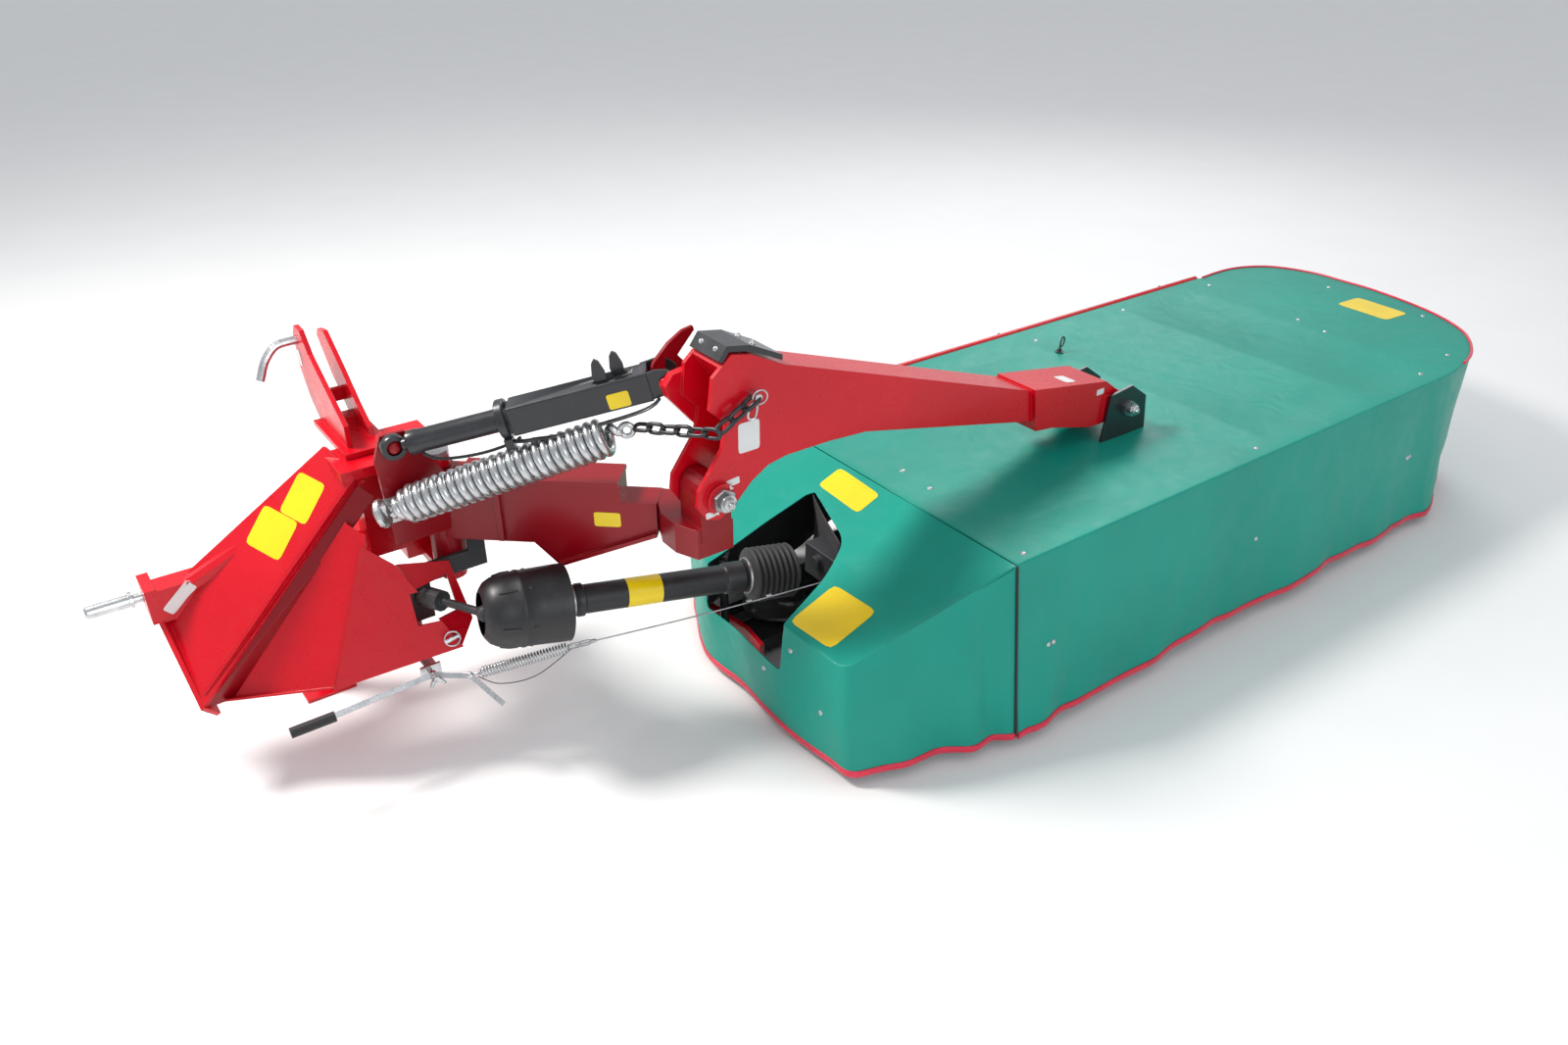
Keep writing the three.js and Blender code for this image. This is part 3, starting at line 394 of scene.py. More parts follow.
# ---- camera, floor and light
def studio():
    data = bpy.data.cameras.new("camera")
    camera = bpy.data.objects.new("camera", data)
    bpy.context.scene.collection.objects.link(camera)
    camera.location = (-3.3424, -2.4048, 2.2941)
    pitch = math.radians(29.9)
    flat = Vector((0.589, 0.808)).normalized()
    look = Vector((flat.x * math.cos(pitch), flat.y * math.cos(pitch), -math.sin(pitch)))
    camera.rotation_euler = look.to_track_quat("-Z", "Y").to_euler()
    data.sensor_width, data.lens = 36, 27.07
    data.clip_end = 100
    bpy.context.scene.camera = camera
    bpy.context.scene.view_settings.view_transform = "Standard"

    floor = bpy.data.objects.new("floor", bpy.data.meshes.new("floor"))
    floor.data.from_pydata([(-40, -40, 0), (40, -40, 0), (40, 40, 0), (-40, 40, 0)], [], [(0, 1, 2, 3)])
    floor.data.materials.append(surface("pale floor", (0.86, 0.86, 0.86), 0.7, tint=0.01, grain=0.0))
    bpy.context.scene.collection.objects.link(floor)

    world = bpy.data.worlds.new("studio")
    bpy.context.scene.world = world
    world.use_nodes = True
    world.node_tree.nodes["Background"].inputs[0].default_value = (0.93, 0.96, 1.0, 1)
    world.node_tree.nodes["Background"].inputs[1].default_value = 0.62

    def lamp(name, place, target, size, power, colour):
        light = bpy.data.lights.new(name, "AREA")
        light.shape, light.size, light.energy, light.color = "DISK", size, power, colour
        obj = bpy.data.objects.new(name, light)
        obj.location = place
        obj.rotation_euler = (Vector(target) - Vector(place)).to_track_quat("-Z", "Y").to_euler()
        bpy.context.scene.collection.objects.link(obj)

    lamp("key", (-4.6, 2.6, 5.2), (-0.7, 0.0, 0.3), 1.6, 400, (1.0, 0.97, 0.93))
    lamp("fill", (-3.0, -6.0, 3.4), (-0.7, 0.0, 0.5), 4.0, 105, (0.94, 0.97, 1.0))
    lamp("rim", (4.0, 3.5, 4.5), (0.3, 0.0, 0.5), 3.0, 90, (1.0, 1.0, 1.0))


# ---- canvas cover
def fold_noise(s, t, seed, size):
    return noise.noise(Vector((s * size, t * 1.3, seed)))


def thicken(obj, thickness):
    step = obj.modifiers.new("thickness", "SOLIDIFY")
    step.thickness, step.offset = thickness, -1.0
    step.use_even_offset = True


def cloth_skin(obj):
    """Smooths a sheet once and gives it the cloth's thickness."""
    finer = obj.modifiers.new("smooth", "SUBSURF")
    finer.levels = finer.render_levels = 1
    thicken(obj, SKIN)


def hem_tape(name, path, body):
    """The bound edge: a flattened tape folded over the cloth's edge."""
    thick, width = 0.0045, 0.011
    section = [(0.5, -1.0), (1.0, -0.7), (1.0, 0.7), (0.5, 1.0), (-0.5, 1.0), (-1.0, 0.7), (-1.0, -0.7),
               (-0.5, -1.0)]
    path = even(path, max(12, int(len(path) * 1.5)))
    up = np.array((0, 0, 1.0))
    points = []
    for p, t in zip(path, directions(path)):
        side = unit(np.cross(t, up))
        points += [p + side * a * thick + up * b * width for a, b in section]
    return piece(name, (points, ring_faces(len(path), len(section))), HEM_CLOTH, body, smooth=60)


# points along the straight rear edge, then the x where each edge turns and where the side cloth ends
REAR_COUNT = 112
ROUND_FROM, FRONT_ROUND_FROM, FRONT_SIDE = 1.0, 1.025, 1.228


def edge_rows():
    """Plan of the top: for each x from the seam to the round outer end, the rear and the front edge."""
    xs = list(np.linspace(SEAM + 0.002, ROUND_FROM, REAR_COUNT))
    arc = even(smooth_line(list(reversed(ARC)), 200), 400)
    tip = int(np.argmax(arc[:, 0]))
    back, front = arc[:tip + 1], arc[tip:][::-1]
    xs += list(ROUND_FROM + (arc[tip, 0] - ROUND_FROM) * np.sin(np.linspace(0, math.pi / 2, 46))[1:])
    yb = [BACK if x <= ROUND_FROM else float(np.interp(x, back[:, 0], back[:, 1])) for x in xs]
    yf = [FRONT if x <= FRONT_ROUND_FROM else float(np.interp(x, front[:, 0], front[:, 1], left=FRONT))
          for x in xs]
    yf = [min(b, FRONT) if x <= 1.4 else b for x, b in zip(xs, yf)]
    yf[-1] = yb[-1] = float(arc[tip, 1])
    return xs, yb, yf


# x of the frame's tubes under the top
TUBES = (-1.197, -0.62, 0.02, 0.62, 1.06)


def sag(x, y):
    """How far the top sheet hangs between the tubes of its frame."""
    drop = 0.0
    for a, b in zip(TUBES, TUBES[1:]):
        if a < x < b:
            drop = 0.011 * math.sin(math.pi * (x - a) / (b - a)) ** 0.8
    across = max(0.0, min(1.0, (y + 0.53) / 0.1)) * max(0.0, min(1.0, (0.63 - y) / 0.1))
    ripple = 0.003 * noise.noise(Vector((x * 2.2, y * 3.1, 4.0)))
    return drop * across + abs(ripple) * across


# folds: place along the rim, width and height
REAR_FOLDS = [(0.10, 0.035, 0.010), (0.19, 0.04, -0.008), (0.62, 0.06, 0.007), (0.93, 0.05, -0.008),
              (1.32, 0.07, 0.008), (1.58, 0.05, -0.007), (1.86, 0.06, 0.008), (2.02, 0.04, -0.009)]
# rows of points near an edge of the top sheet, the rows between, and all of them
INSET = (0.0, 0.009, 0.022, 0.05)
MIDS = 26
ROW = MIDS + 2 * (len(INSET) - 1)


def row_across(width):
    """Where the top sheet has its points across that width, closer together at both edges."""
    edges = [v for v in INSET if v < width * 0.3] or [0.0]
    while len(edges) < len(INSET):
        edges.append(edges[-1] + (width * 0.35 - edges[-1]) / 3 if width > 1e-6 else edges[-1])
    mids = np.linspace(edges[-1], width - edges[-1], MIDS)
    return [*edges[:-1], *mids, *[width - v for v in reversed(edges[:-1])]]


def top_sheet(xs, rear, front):
    """Points and faces of the top, one row of points from the rear edge to the front for each x."""
    points = []
    for x, yb, yf in zip(xs, rear, front):
        points += [np.array((x, yb + d, TOP - sag(x, yb + d))) for d in row_across(yf - yb)]
    faces = [[i * ROW + j, (i + 1) * ROW + j, (i + 1) * ROW + j + 1, i * ROW + j + 1]
             for i in range(len(xs) - 1) for j in range(ROW - 1)]
    return points, faces


def sway(s, t):
    """How far the side cloth stands off, s along the rim and t of the way down to the hem."""
    wave = 0.006 * math.sin(s * 5.1 + 0.6) + 0.008 * fold_noise(s, t, 2.0, 3.1)
    wave += 0.006 * fold_noise(s + t * 0.8, t, 7.0, 7.0)
    wave += sum(d * math.exp(-((s - c - 0.10 * (1 - t)) / w) ** 2) for c, w, d in REAR_FOLDS)
    corner = math.exp(-((s - 2.33) / 0.10) ** 2) * 0.020 - math.exp(-((s - 2.12) / 0.09) ** 2) * 0.018
    return (wave + corner) * t ** 1.2


def top_cover():
    """The top with its rear and outer sides as one sheet, its hem tape and its piping."""
    xs, rear, front = edge_rows()
    points, faces = top_sheet(xs, rear, front)
    count = len(xs)
    front_end = next(i for i, x in enumerate(xs) if x >= FRONT_SIDE)
    rim = [i * ROW for i in range(count)] + [i * ROW + ROW - 1 for i in range(count - 2, front_end - 1, -1)]
    rim_points = np.array([points[k] for k in rim])
    steps, flow = distances(rim_points), directions(rim_points[:, :2])
    outward = np.stack([flow[:, 1], -flow[:, 0]], axis=1)
    previous = rim
    for t in (0.012, 0.03, 0.06, *np.linspace(0.1, 1.0, 20)):
        current = []
        for k, (x, y, z) in enumerate(rim_points):
            s = steps[k]
            held = 1.0 if k < REAR_COUNT else max(0.0, 1.0 - (s - steps[REAR_COUNT - 1]) / 0.25)
            flare = held * FLARE * t
            out = flare + sway(s, t) * (0.25 if x < SEAM + 0.05 else 1.0)
            if held < 1.0:
                out = min(out, flare + 0.012)
            lift = 0.016 * math.sin(max(0.0, min(1.0, s / 2.2)) * math.pi) * t * held
            lift += 0.004 * math.sin(s * 9) * t
            current.append(len(points))
            points.append(np.array((x + outward[k, 0] * out, y + outward[k, 1] * out,
                                    z - (TOP - HEM) * t + lift)))
        faces += [[previous[k + 1], previous[k], current[k], current[k + 1]] for k in range(len(rim) - 1)]
        previous = current
    cover = piece("cover_sheet", (points, faces), CANVAS, "mower",
                  ("top_canvas", "rear_canvas", "outer_canvas"), smooth=80)
    cloth_skin(cover)
    tape = hem_tape("cover_hem", [points[i] for i in previous], "mower")
    outer_rim = rim_points[int(len(rim_points) * 0.62):]
    piping = piece("cover_piping", tube(outer_rim + (0, 0, 0.002), 0.0055, 8), HEM_CLOTH, "mower")


studio()
top_cover()


# ---- inner end of the cover
SHAFT_HOLE = [mm(*p) for p in ((-1344, 180), (-1424, -80), (-1545, -146), (-1800, -215), (-1800, 200),
                               (-1480, 200))]


def slope_z(x):
    return TOP + SLOPE * (x - SEAM)


def fillet(points, reach, steps=6):
    """Rounds the inner corners of an open line that may carry more than three numbers a point."""
    points = [np.array(p, float) for p in points]
    out = [points[0]]
    for before, at, after in zip(points, points[1:], points[2:]):
        a = at + (before - at) * min(0.45, reach / np.linalg.norm((before - at)[:3]))
        b = at + (after - at) * min(0.45, reach / np.linalg.norm((after - at)[:3]))
        out += [a * (1 - t) ** 2 + at * 2 * t * (1 - t) + b * t * t for t in np.linspace(0, 1, steps)]
    return [*out, points[-1]]


def settle(obj):
    """Turns an object's modifiers into its mesh."""
    bpy.context.view_layer.update()
    shape = bpy.data.meshes.new_from_object(obj.evaluated_get(bpy.context.evaluated_depsgraph_get()))
    obj.modifiers.clear()
    obj.data = shape


INNER_FOLDS = [(0.07, 0.035, -0.020), (0.15, 0.04, 0.016), (0.25, 0.05, -0.016), (0.37, 0.05, 0.012),
               (0.60, 0.06, -0.010), (0.80, 0.09, 0.012), (1.05, 0.10, -0.012), (1.35, 0.08, 0.012),
               (1.60, 0.07, -0.012), (1.80, 0.06, 0.010)]


def open_hole(points, faces):
    """Leaves out the faces inside the shaft's hole and draws the edge left to its outline."""
    outline = np.array(even(fillet([*SHAFT_HOLE, SHAFT_HOLE[0]], 0.05), 400))
    ahead = np.roll(outline, -1, axis=0)
    low = 0.24

    def inside(p):
        crosses = (outline[:, 1] > p[1]) != (ahead[:, 1] > p[1])
        rise = np.where(ahead[:, 1] == outline[:, 1], 1, ahead[:, 1] - outline[:, 1])
        at = outline[:, 0] + (p[1] - outline[:, 1]) * (ahead[:, 0] - outline[:, 0]) / rise
        return bool((crosses & (p[0] < at)).sum() % 2) and p[2] > low

    within = [inside(p) for p in points]
    kept = [f for f in faces if not all(within[i] for i in f)]
    for i in {i for f in kept for i in f if within[i]}:
        x, y, z = points[i]
        away = np.linalg.norm(outline - (x, y), axis=1)
        nearest = int(np.argmin(away))
        if z - low < away[nearest]:
            points[i] = np.array((x, y, low))
        else:
            nx, ny = outline[nearest]
            on_roof = abs(z - slope_z(x)) < 0.03 and x > -1.72
            points[i] = np.array((nx, ny, slope_z(nx) - (slope_z(x) - z) if on_roof else z))
    return kept


# the inner end's corners in plan, each on the rim and on the hem
INNER_SEAM = SEAM - 0.003
INNER_CORNERS = (((INNER_SEAM, -0.576, 0.590), (INNER_SEAM - 0.002, -0.644, HEM)),
                 ((-1.735, -0.465, 0), (-1.735, -0.493, HEM)), ((-1.735, 0.217, 0), (-1.735, 0.217, HEM)),
                 ((-1.560, 0.600, 0), (-1.560, 0.600, HEM)),
                 ((INNER_SEAM, 0.676, 0), (INNER_SEAM, 0.676, HEM)))


def inner_roof(rim, across):
    """Points of the sloping roof: for each point of the rim, a row from the seam out to it."""
    points = []
    for x, y, _ in rim:
        for v in across:
            px = INNER_SEAM + (x - INNER_SEAM) * v
            dip = 0.012 * math.sin(math.pi * v) * min(1, abs(x - INNER_SEAM) / 0.3)
            dip += 0.010 * noise.noise(Vector((px * 4, y * 4, 1.0))) * math.sin(math.pi * v)
            points.append((px, y, slope_z(px) - abs(dip)))
    return points


def inner_sway(s, t):
    """How far the inner end's cloth stands off, s along its rim and t of the way down."""
    swell = sum(d * math.exp(-((s - c - 0.05 * (1 - t)) / w) ** 2) for c, w, d in INNER_FOLDS)
    return swell * (1.25 - 0.55 * t) + 0.006 * noise.noise(Vector((s * 6, t * 2.2, 9.0)))


def inner_cover():
    """The sloping inner end of the cover with its sides, the shaft's hole, its hem tape and its edging."""
    path = even(fillet([[*a, *b] for a, b in INNER_CORNERS], 0.055), 190)
    rim, hem = path[:, :3].copy(), path[:, 3:]
    rim[:, 2] = slope_z(rim[:, 0])
    steps, flow = distances(rim), directions(rim[:, :2])
    outward = np.stack([-flow[:, 1], flow[:, 0], 0 * flow[:, 0]], axis=1)
    across = np.r_[0, np.linspace(0.04, 0.93, 22), 0.965, 0.985, 1.0]
    points = inner_roof(rim, across)
    faces = grid_faces(len(rim), len(across))
    previous = [(k + 1) * len(across) - 1 for k in range(len(rim))]
    for t in (0.02, 0.045, 0.09, *np.linspace(0.14, 1.0, 22)):
        current = []
        for k, s in enumerate(steps):
            held = min(1, s / 0.04) * min(1, (steps[-1] - s) / 0.04)
            out = (inner_sway(s, t) * t ** 0.8 + 0.010 * math.sin(math.pi * t)) * held
            p = rim[k] + (hem[k] - rim[k]) * t + outward[k] * out
            p[2] -= 0.010 * math.sin(min(1, s / 0.5) * math.pi) ** 2 * (1 - t)
            p[2] += 0.004 * math.sin(s * 5) * t
            current.append(len(points))
            points.append(p)
        faces += [[previous[k], previous[k + 1], current[k + 1], current[k]] for k in range(len(rim) - 1)]
        previous = current
    faces = open_hole(points, faces)
    cover = piece("inner_cover_sheet", (points, faces), CANVAS, "mower", ("inner_canvas",), smooth=80)
    cloth_skin(cover)
    settle(cover)
    cover.data.set_sharp_from_angle(angle=math.radians(70))
    tape = hem_tape("inner_cover_hem", [points[i] for i in previous], "mower")
    corner = np.array([rim[0] + (hem[0] - rim[0]) * t + (0, -0.002, 0) for t in np.linspace(0, 1, 20)])
    edging = piece("inner_cover_edging", tube(corner, 0.0045, 8), RUBBER, "mower")
    return cover


def front_skirt():
    xs = np.linspace(-1.2, 1.214, 130)
    points, count = [], 16
    for x in xs:
        for t in np.linspace(0, 1, count):
            out = (0.006 * math.sin(x * 9.3) + 0.010 * noise.noise(Vector((x * 3, t, 3.0)))) * t
            points.append((x, 0.692 + out, 0.57 - 0.5 * t + 0.004 * math.sin(x * 6) * t))
    skirt = piece("front_skirt_sheet", (points, grid_faces(len(xs), count)), CANVAS, "front_curtain",
                  ("front_guard",), smooth=80)
    thicken(skirt, SKIN)
    tape = hem_tape("front_skirt_hem", points[count - 1::count], "front_curtain")
    line = [(x, 0.692, 0.582) for x in (-1.205, -0.4, 0.4, 1.225)]
    bar = piece("front_bar", tube(line, 0.0145, 20), RED, "front_curtain")


def shaft_apron():
    """The dark rubber flap beyond the bellows, hung from the slope's edge."""
    points, rows = [], 14
    for i in range(rows):
        f = i / (rows - 1)
        x, y = -1.352 - 0.085 * f, 0.176 - 0.25 * f
        for t in np.linspace(0, 1, 12):
            low = 0.25 + 0.05 * abs(f - 0.5)
            high = slope_z(x) - 0.016
            points.append((x + 0.02 * math.sin(math.pi * t) * (1 - f), y + 0.012 * math.sin(3 * f + 2 * t),
                           high + (low - high) * t))
    flap = piece("shaft_apron", (points, grid_faces(rows, 12)), RUBBER, "mower", ("shaft_flap",), smooth=80)
    thicken(flap, FLAP_SKIN)


def shaft_shade_screen():
    """A black rubber sheet hung under the inner end of the cover, ahead of the bellows: painted shade, a dark
    screen that hides the floor seen through the shaft's hole.
    """
    points, columns, rows = [], 24, 12
    for i in range(columns):
        f = i / (columns - 1)
        x, y = -1.68 + 0.80 * f, 0.29 + 0.24 * f
        top = min(slope_z(x), TOP - 0.01) - 0.02
        for t in np.linspace(0, 1, rows):
            points.append((x, y + 0.012 * math.sin(9 * f) * t, top + (0.17 - top) * t))
    curtain = piece("shaft_shade_screen", (points, grid_faces(columns, rows)), RUBBER, "mower", smooth=80)
    thicken(curtain, FLAP_SKIN)


inner = inner_cover()
front_skirt()
shaft_apron()
# a dark screen: painted shade inside the shaft's hole
shaft_shade_screen()


# ---- springs, chain and cable
def helix(line, stations, turns, per_turn=18):
    """Points of a coil about a line; stations are (distance, coil radius) in millimetres."""
    axis = unit(line[1] - line[0])
    n = square_to(axis)
    s = np.cross(axis, n)
    d, r = zip(*stations)
    out = []
    for k in range(int(turns * per_turn) + 1):
        f = k / (turns * per_turn)
        at = d[0] + (d[-1] - d[0]) * f
        a = 2 * math.pi * turns * f
        radius = np.interp(at, d, r) / 1000
        out.append(line[0] + axis * at / 1000 + radius * (math.cos(a) * n + math.sin(a) * s))
    return out


def ring_path(centre, axis, radius, other=None, long=0.0, count=28):
    """A closed ring, or a chain link when long is given, as points."""
    axis = unit(axis)
    n = unit(other) if other is not None else square_to(axis)
    n = unit(n - axis * np.dot(n, axis))
    s = np.cross(axis, n)
    out = []
    for k in range(count):
        a = 2 * math.pi * k / count
        c, d = math.cos(a), math.sin(a)
        reach = radius * c + math.copysign(long / 2, c) * min(1, abs(c) * 3)
        out.append(np.array(centre) + n * reach + s * radius * d)
    return out


def closed_tube(path, radius, sides=10):
    """A round bar along a closed path."""
    path = np.array(path)
    tangent = np.roll(path, -1, axis=0) - np.roll(path, 1, axis=0)
    tangent /= np.linalg.norm(tangent, axis=1)[:, None]
    normal = path - path.mean(axis=0)
    normal -= tangent * (normal * tangent).sum(axis=1)[:, None]
    normal /= np.linalg.norm(normal, axis=1)[:, None]
    side = np.cross(tangent, normal)
    angles = full_turn(sides)
    points = [p + radius * (math.cos(a) * n + math.sin(a) * s)
              for p, n, s in zip(path, normal, side) for a in angles]
    return points, ring_faces(len(path), sides, closed=True)


def ring(centre, axis, radius, wire, sides=10, **shape):
    return closed_tube(ring_path(centre, axis, radius, **shape), wire, sides)


def balance_spring():
    length = span(COIL)
    coils = helix(COIL, [(16, 12), (40, 25), (70, 42), (length - 52, 43), (length - 38, 39)], 25.5, 20)
    tail = smooth_line([coils[-1], along(COIL, length - 26) + (0, 0, 0.022),
                        along(COIL, length - 12) + (0, 0, 0.004), along(COIL, length + 2)], 10)
    eye = ring(along(COIL, length + 16), np.cross(COIL[1] - COIL[0], (0, 0, 1)), 0.017, 0.0075)
    piece("balance_spring_coils", gather(tube([*coils, *tail[1:]], 0.0116, 12), eye), ZINC, "spring_line",
          ("balance_spring",), smooth=70)


def latch_line():
    """The latch's spring, its cable with two links and three crimps, and the thin wire bow beside them."""
    latch = (HOOK, SPRING_END)
    reach = span(latch)
    small = helix(latch, [(24, 2), (34, 14.2), (reach - 32, 14.2), (reach - 22, 2)], 30, 14)
    spring = [along(latch, 10), along(latch, 18), *small, along(latch, reach - 12)]
    piece("latch_spring_coils", tube(spring, 0.0026, 8), ZINC, "latch_line", ("latch_spring",), smooth=70)
    start = along(latch, reach - 8)
    pull = MOUTH + unit(MOUTH - start) * 0.2
    wire = smooth_line([start, start + (pull - start) * 0.5 - (0, 0, 0.006), pull], 40)
    knots = [ring(start + unit(pull - start) * d, (0.3, 0.9, 0), 0.008, 0.002, 8, other=pull - start,
                  long=0.018, count=20) for d in (0.0, 0.028)]
    crimps = [lathe(start, pull, [(d, 3), (d + 1, 5.5), (d + 15, 5.5), (d + 16, 3)], 14)
              for d in (44.0, 500.0, 560.0)]
    cable = piece("latch_cable_wire", tube(wire, 0.0022, 8), STEEL, "latch_line", ("latch_cable",),
                  smooth=60)
    ends = piece("latch_cable_ends", gather(*knots, *crimps), STEEL, "latch_line", smooth=60)
    bow = smooth_line([along(latch, 20) - (0, 0, 0.012), along(latch, 90) - (0.01, 0, 0.055),
                       along(latch, 190) - (0.01, 0, 0.062), along(latch, reach - 14) - (0, 0, 0.006)], 36)
    piece("latch_wire_bow", tube(bow, 0.0014, 8), BLACK, "latch_line")


def chain_run():
    """The chain from the spring over the arm's edge to its pin, every second link turned."""
    line = even([along(COIL, span(COIL) + 42), CHAIN_EDGE, CHAIN_RING], 300)
    last = len(line) - 1
    count = int(path_length(line) / 0.040)
    links = []
    for k in range(count):
        i = int((k + 0.5) / count * last)
        tangent = unit(line[min(i + 4, last)] - line[max(i - 4, 0)])
        across = unit(np.cross(tangent, (0, 0, 1)))
        axis = across if k % 2 else unit(np.cross(across, tangent) + 0.35 * across)
        links.append(ring(line[i], axis, 0.0125, 0.0055, other=tangent, long=0.026, count=24))
    piece("chain_links", gather(*links), CHAIN, "arm", ("balance_chain",), smooth=70)
    pin_at = CHAIN_RING + (0, 0.006, 0)
    pin = lathe(pin_at, pin_at + (0, 1, 0), [(-16, 9), (-14, 11), (20, 11)], 20)
    lynch = ring(pin_at + (0.004, -0.012, 0), (0.2, 1, 0.1), 0.020, 0.0024, 8)
    link = ring(pin_at + (-0.018, -0.010, -0.034), (0.3, 1, 0), 0.011, 0.0034, 8, other=(0.2, 0, 1),
                long=0.02, count=20)
    piece("chain_pin", gather(pin, lynch, link), ZINC, "arm")


balance_spring()
latch_line()
chain_run()


# ---- drive shaft and its guards
def drive_line():
    bell = [(0, 60), (4, 68), (16, 84), (34, 94), (62, 101), (96, 104.5), (100, 107), (106, 107), (110, 105),
            (150, 106), (205, 108), (226, 108), (231, 109), (232, 108), (230, 105), (150, 100), (76, 92),
            (62, 86), (60, 40), (54, 40), (52, 80), (30, 84), (12, 74), (2, 58)]
    screws = []
    axis = unit(SHAFT[1] - SHAFT[0])
    n = square_to(axis)
    s = np.cross(axis, n)
    for a in full_turn(6):
        out = math.cos(a) * n + math.sin(a) * s
        screws.append(lathe(along(SHAFT, 126) + out * 0.104, along(SHAFT, 126) + out * 0.2,
                            [(0, 5), (2.2, 5), (3.4, 3)], 12))
        screws.append(tube([along(SHAFT, 40) + out * 0.097, along(SHAFT, 64) + out * 0.1015,
                            along(SHAFT, 88) + out * 0.104], [0.002, 0.0034, 0.002], 8))

    def sleeve(profile, sides=48):
        return lathe(*SHAFT, profile, sides, closed=True)

    piece("bell_guard_shell", gather(sleeve(bell, 72), *screws), PLASTIC, "shaft_drive", ("bell_guard",),
          smooth=32)
    hub = [(36, 36), (58, 38), (110, 38), (116, 52), (130, 55), (144, 52), (150, 38), (156, 35), (690, 35)]
    piece("shaft_inner_tube", lathe(*SHAFT, hub, 48), PLASTIC, "shaft_drive", ("shaft_inner",))
    rings = [sleeve([(a, 44), (a, 47), (a + 6, 47), (a + 6, 44)]) for a in (236.0, 246.0)]
    piece("shaft_hub_rings", gather(*rings), STEEL, "shaft_sleeve")
    outer = [(234, 38), (234, 44), (258, 44), (262, 47), (279, 47), (283, 41.5), (700, 41.5), (704, 45),
             (712, 46), (760, 47), (764, 44), (800, 42), (800, 37)]
    piece("shaft_outer_tube", sleeve(outer), PLASTIC, "shaft_sleeve", ("shaft_outer",))
    band = [(404, 41), (404, 42.2), (505, 42.2), (505, 41)]
    piece("shaft_band", sleeve(band), YELLOW, "shaft_sleeve")
    ribs = [(768, 43), (770, 50), (776, 52), (780, 60)]
    for k in range(8):
        s0 = 782 + k * 17.4
        ribs += [(s0, 70), (s0 + 3, 79), (s0 + 7, 82), (s0 + 11, 79), (s0 + 14, 70)]
    ribs += [(924, 66), (925, 62), (922, 54), (800, 50), (776, 46)]
    piece("bellows_ribs", sleeve(ribs, 72), RUBBER, "shaft_sleeve", ("bellows_guard",), smooth=50)
    clip = [(771, 51), (771, 53.5), (777, 55), (777, 52)]
    piece("bellows_clip", sleeve(clip), STEEL, "shaft_sleeve")


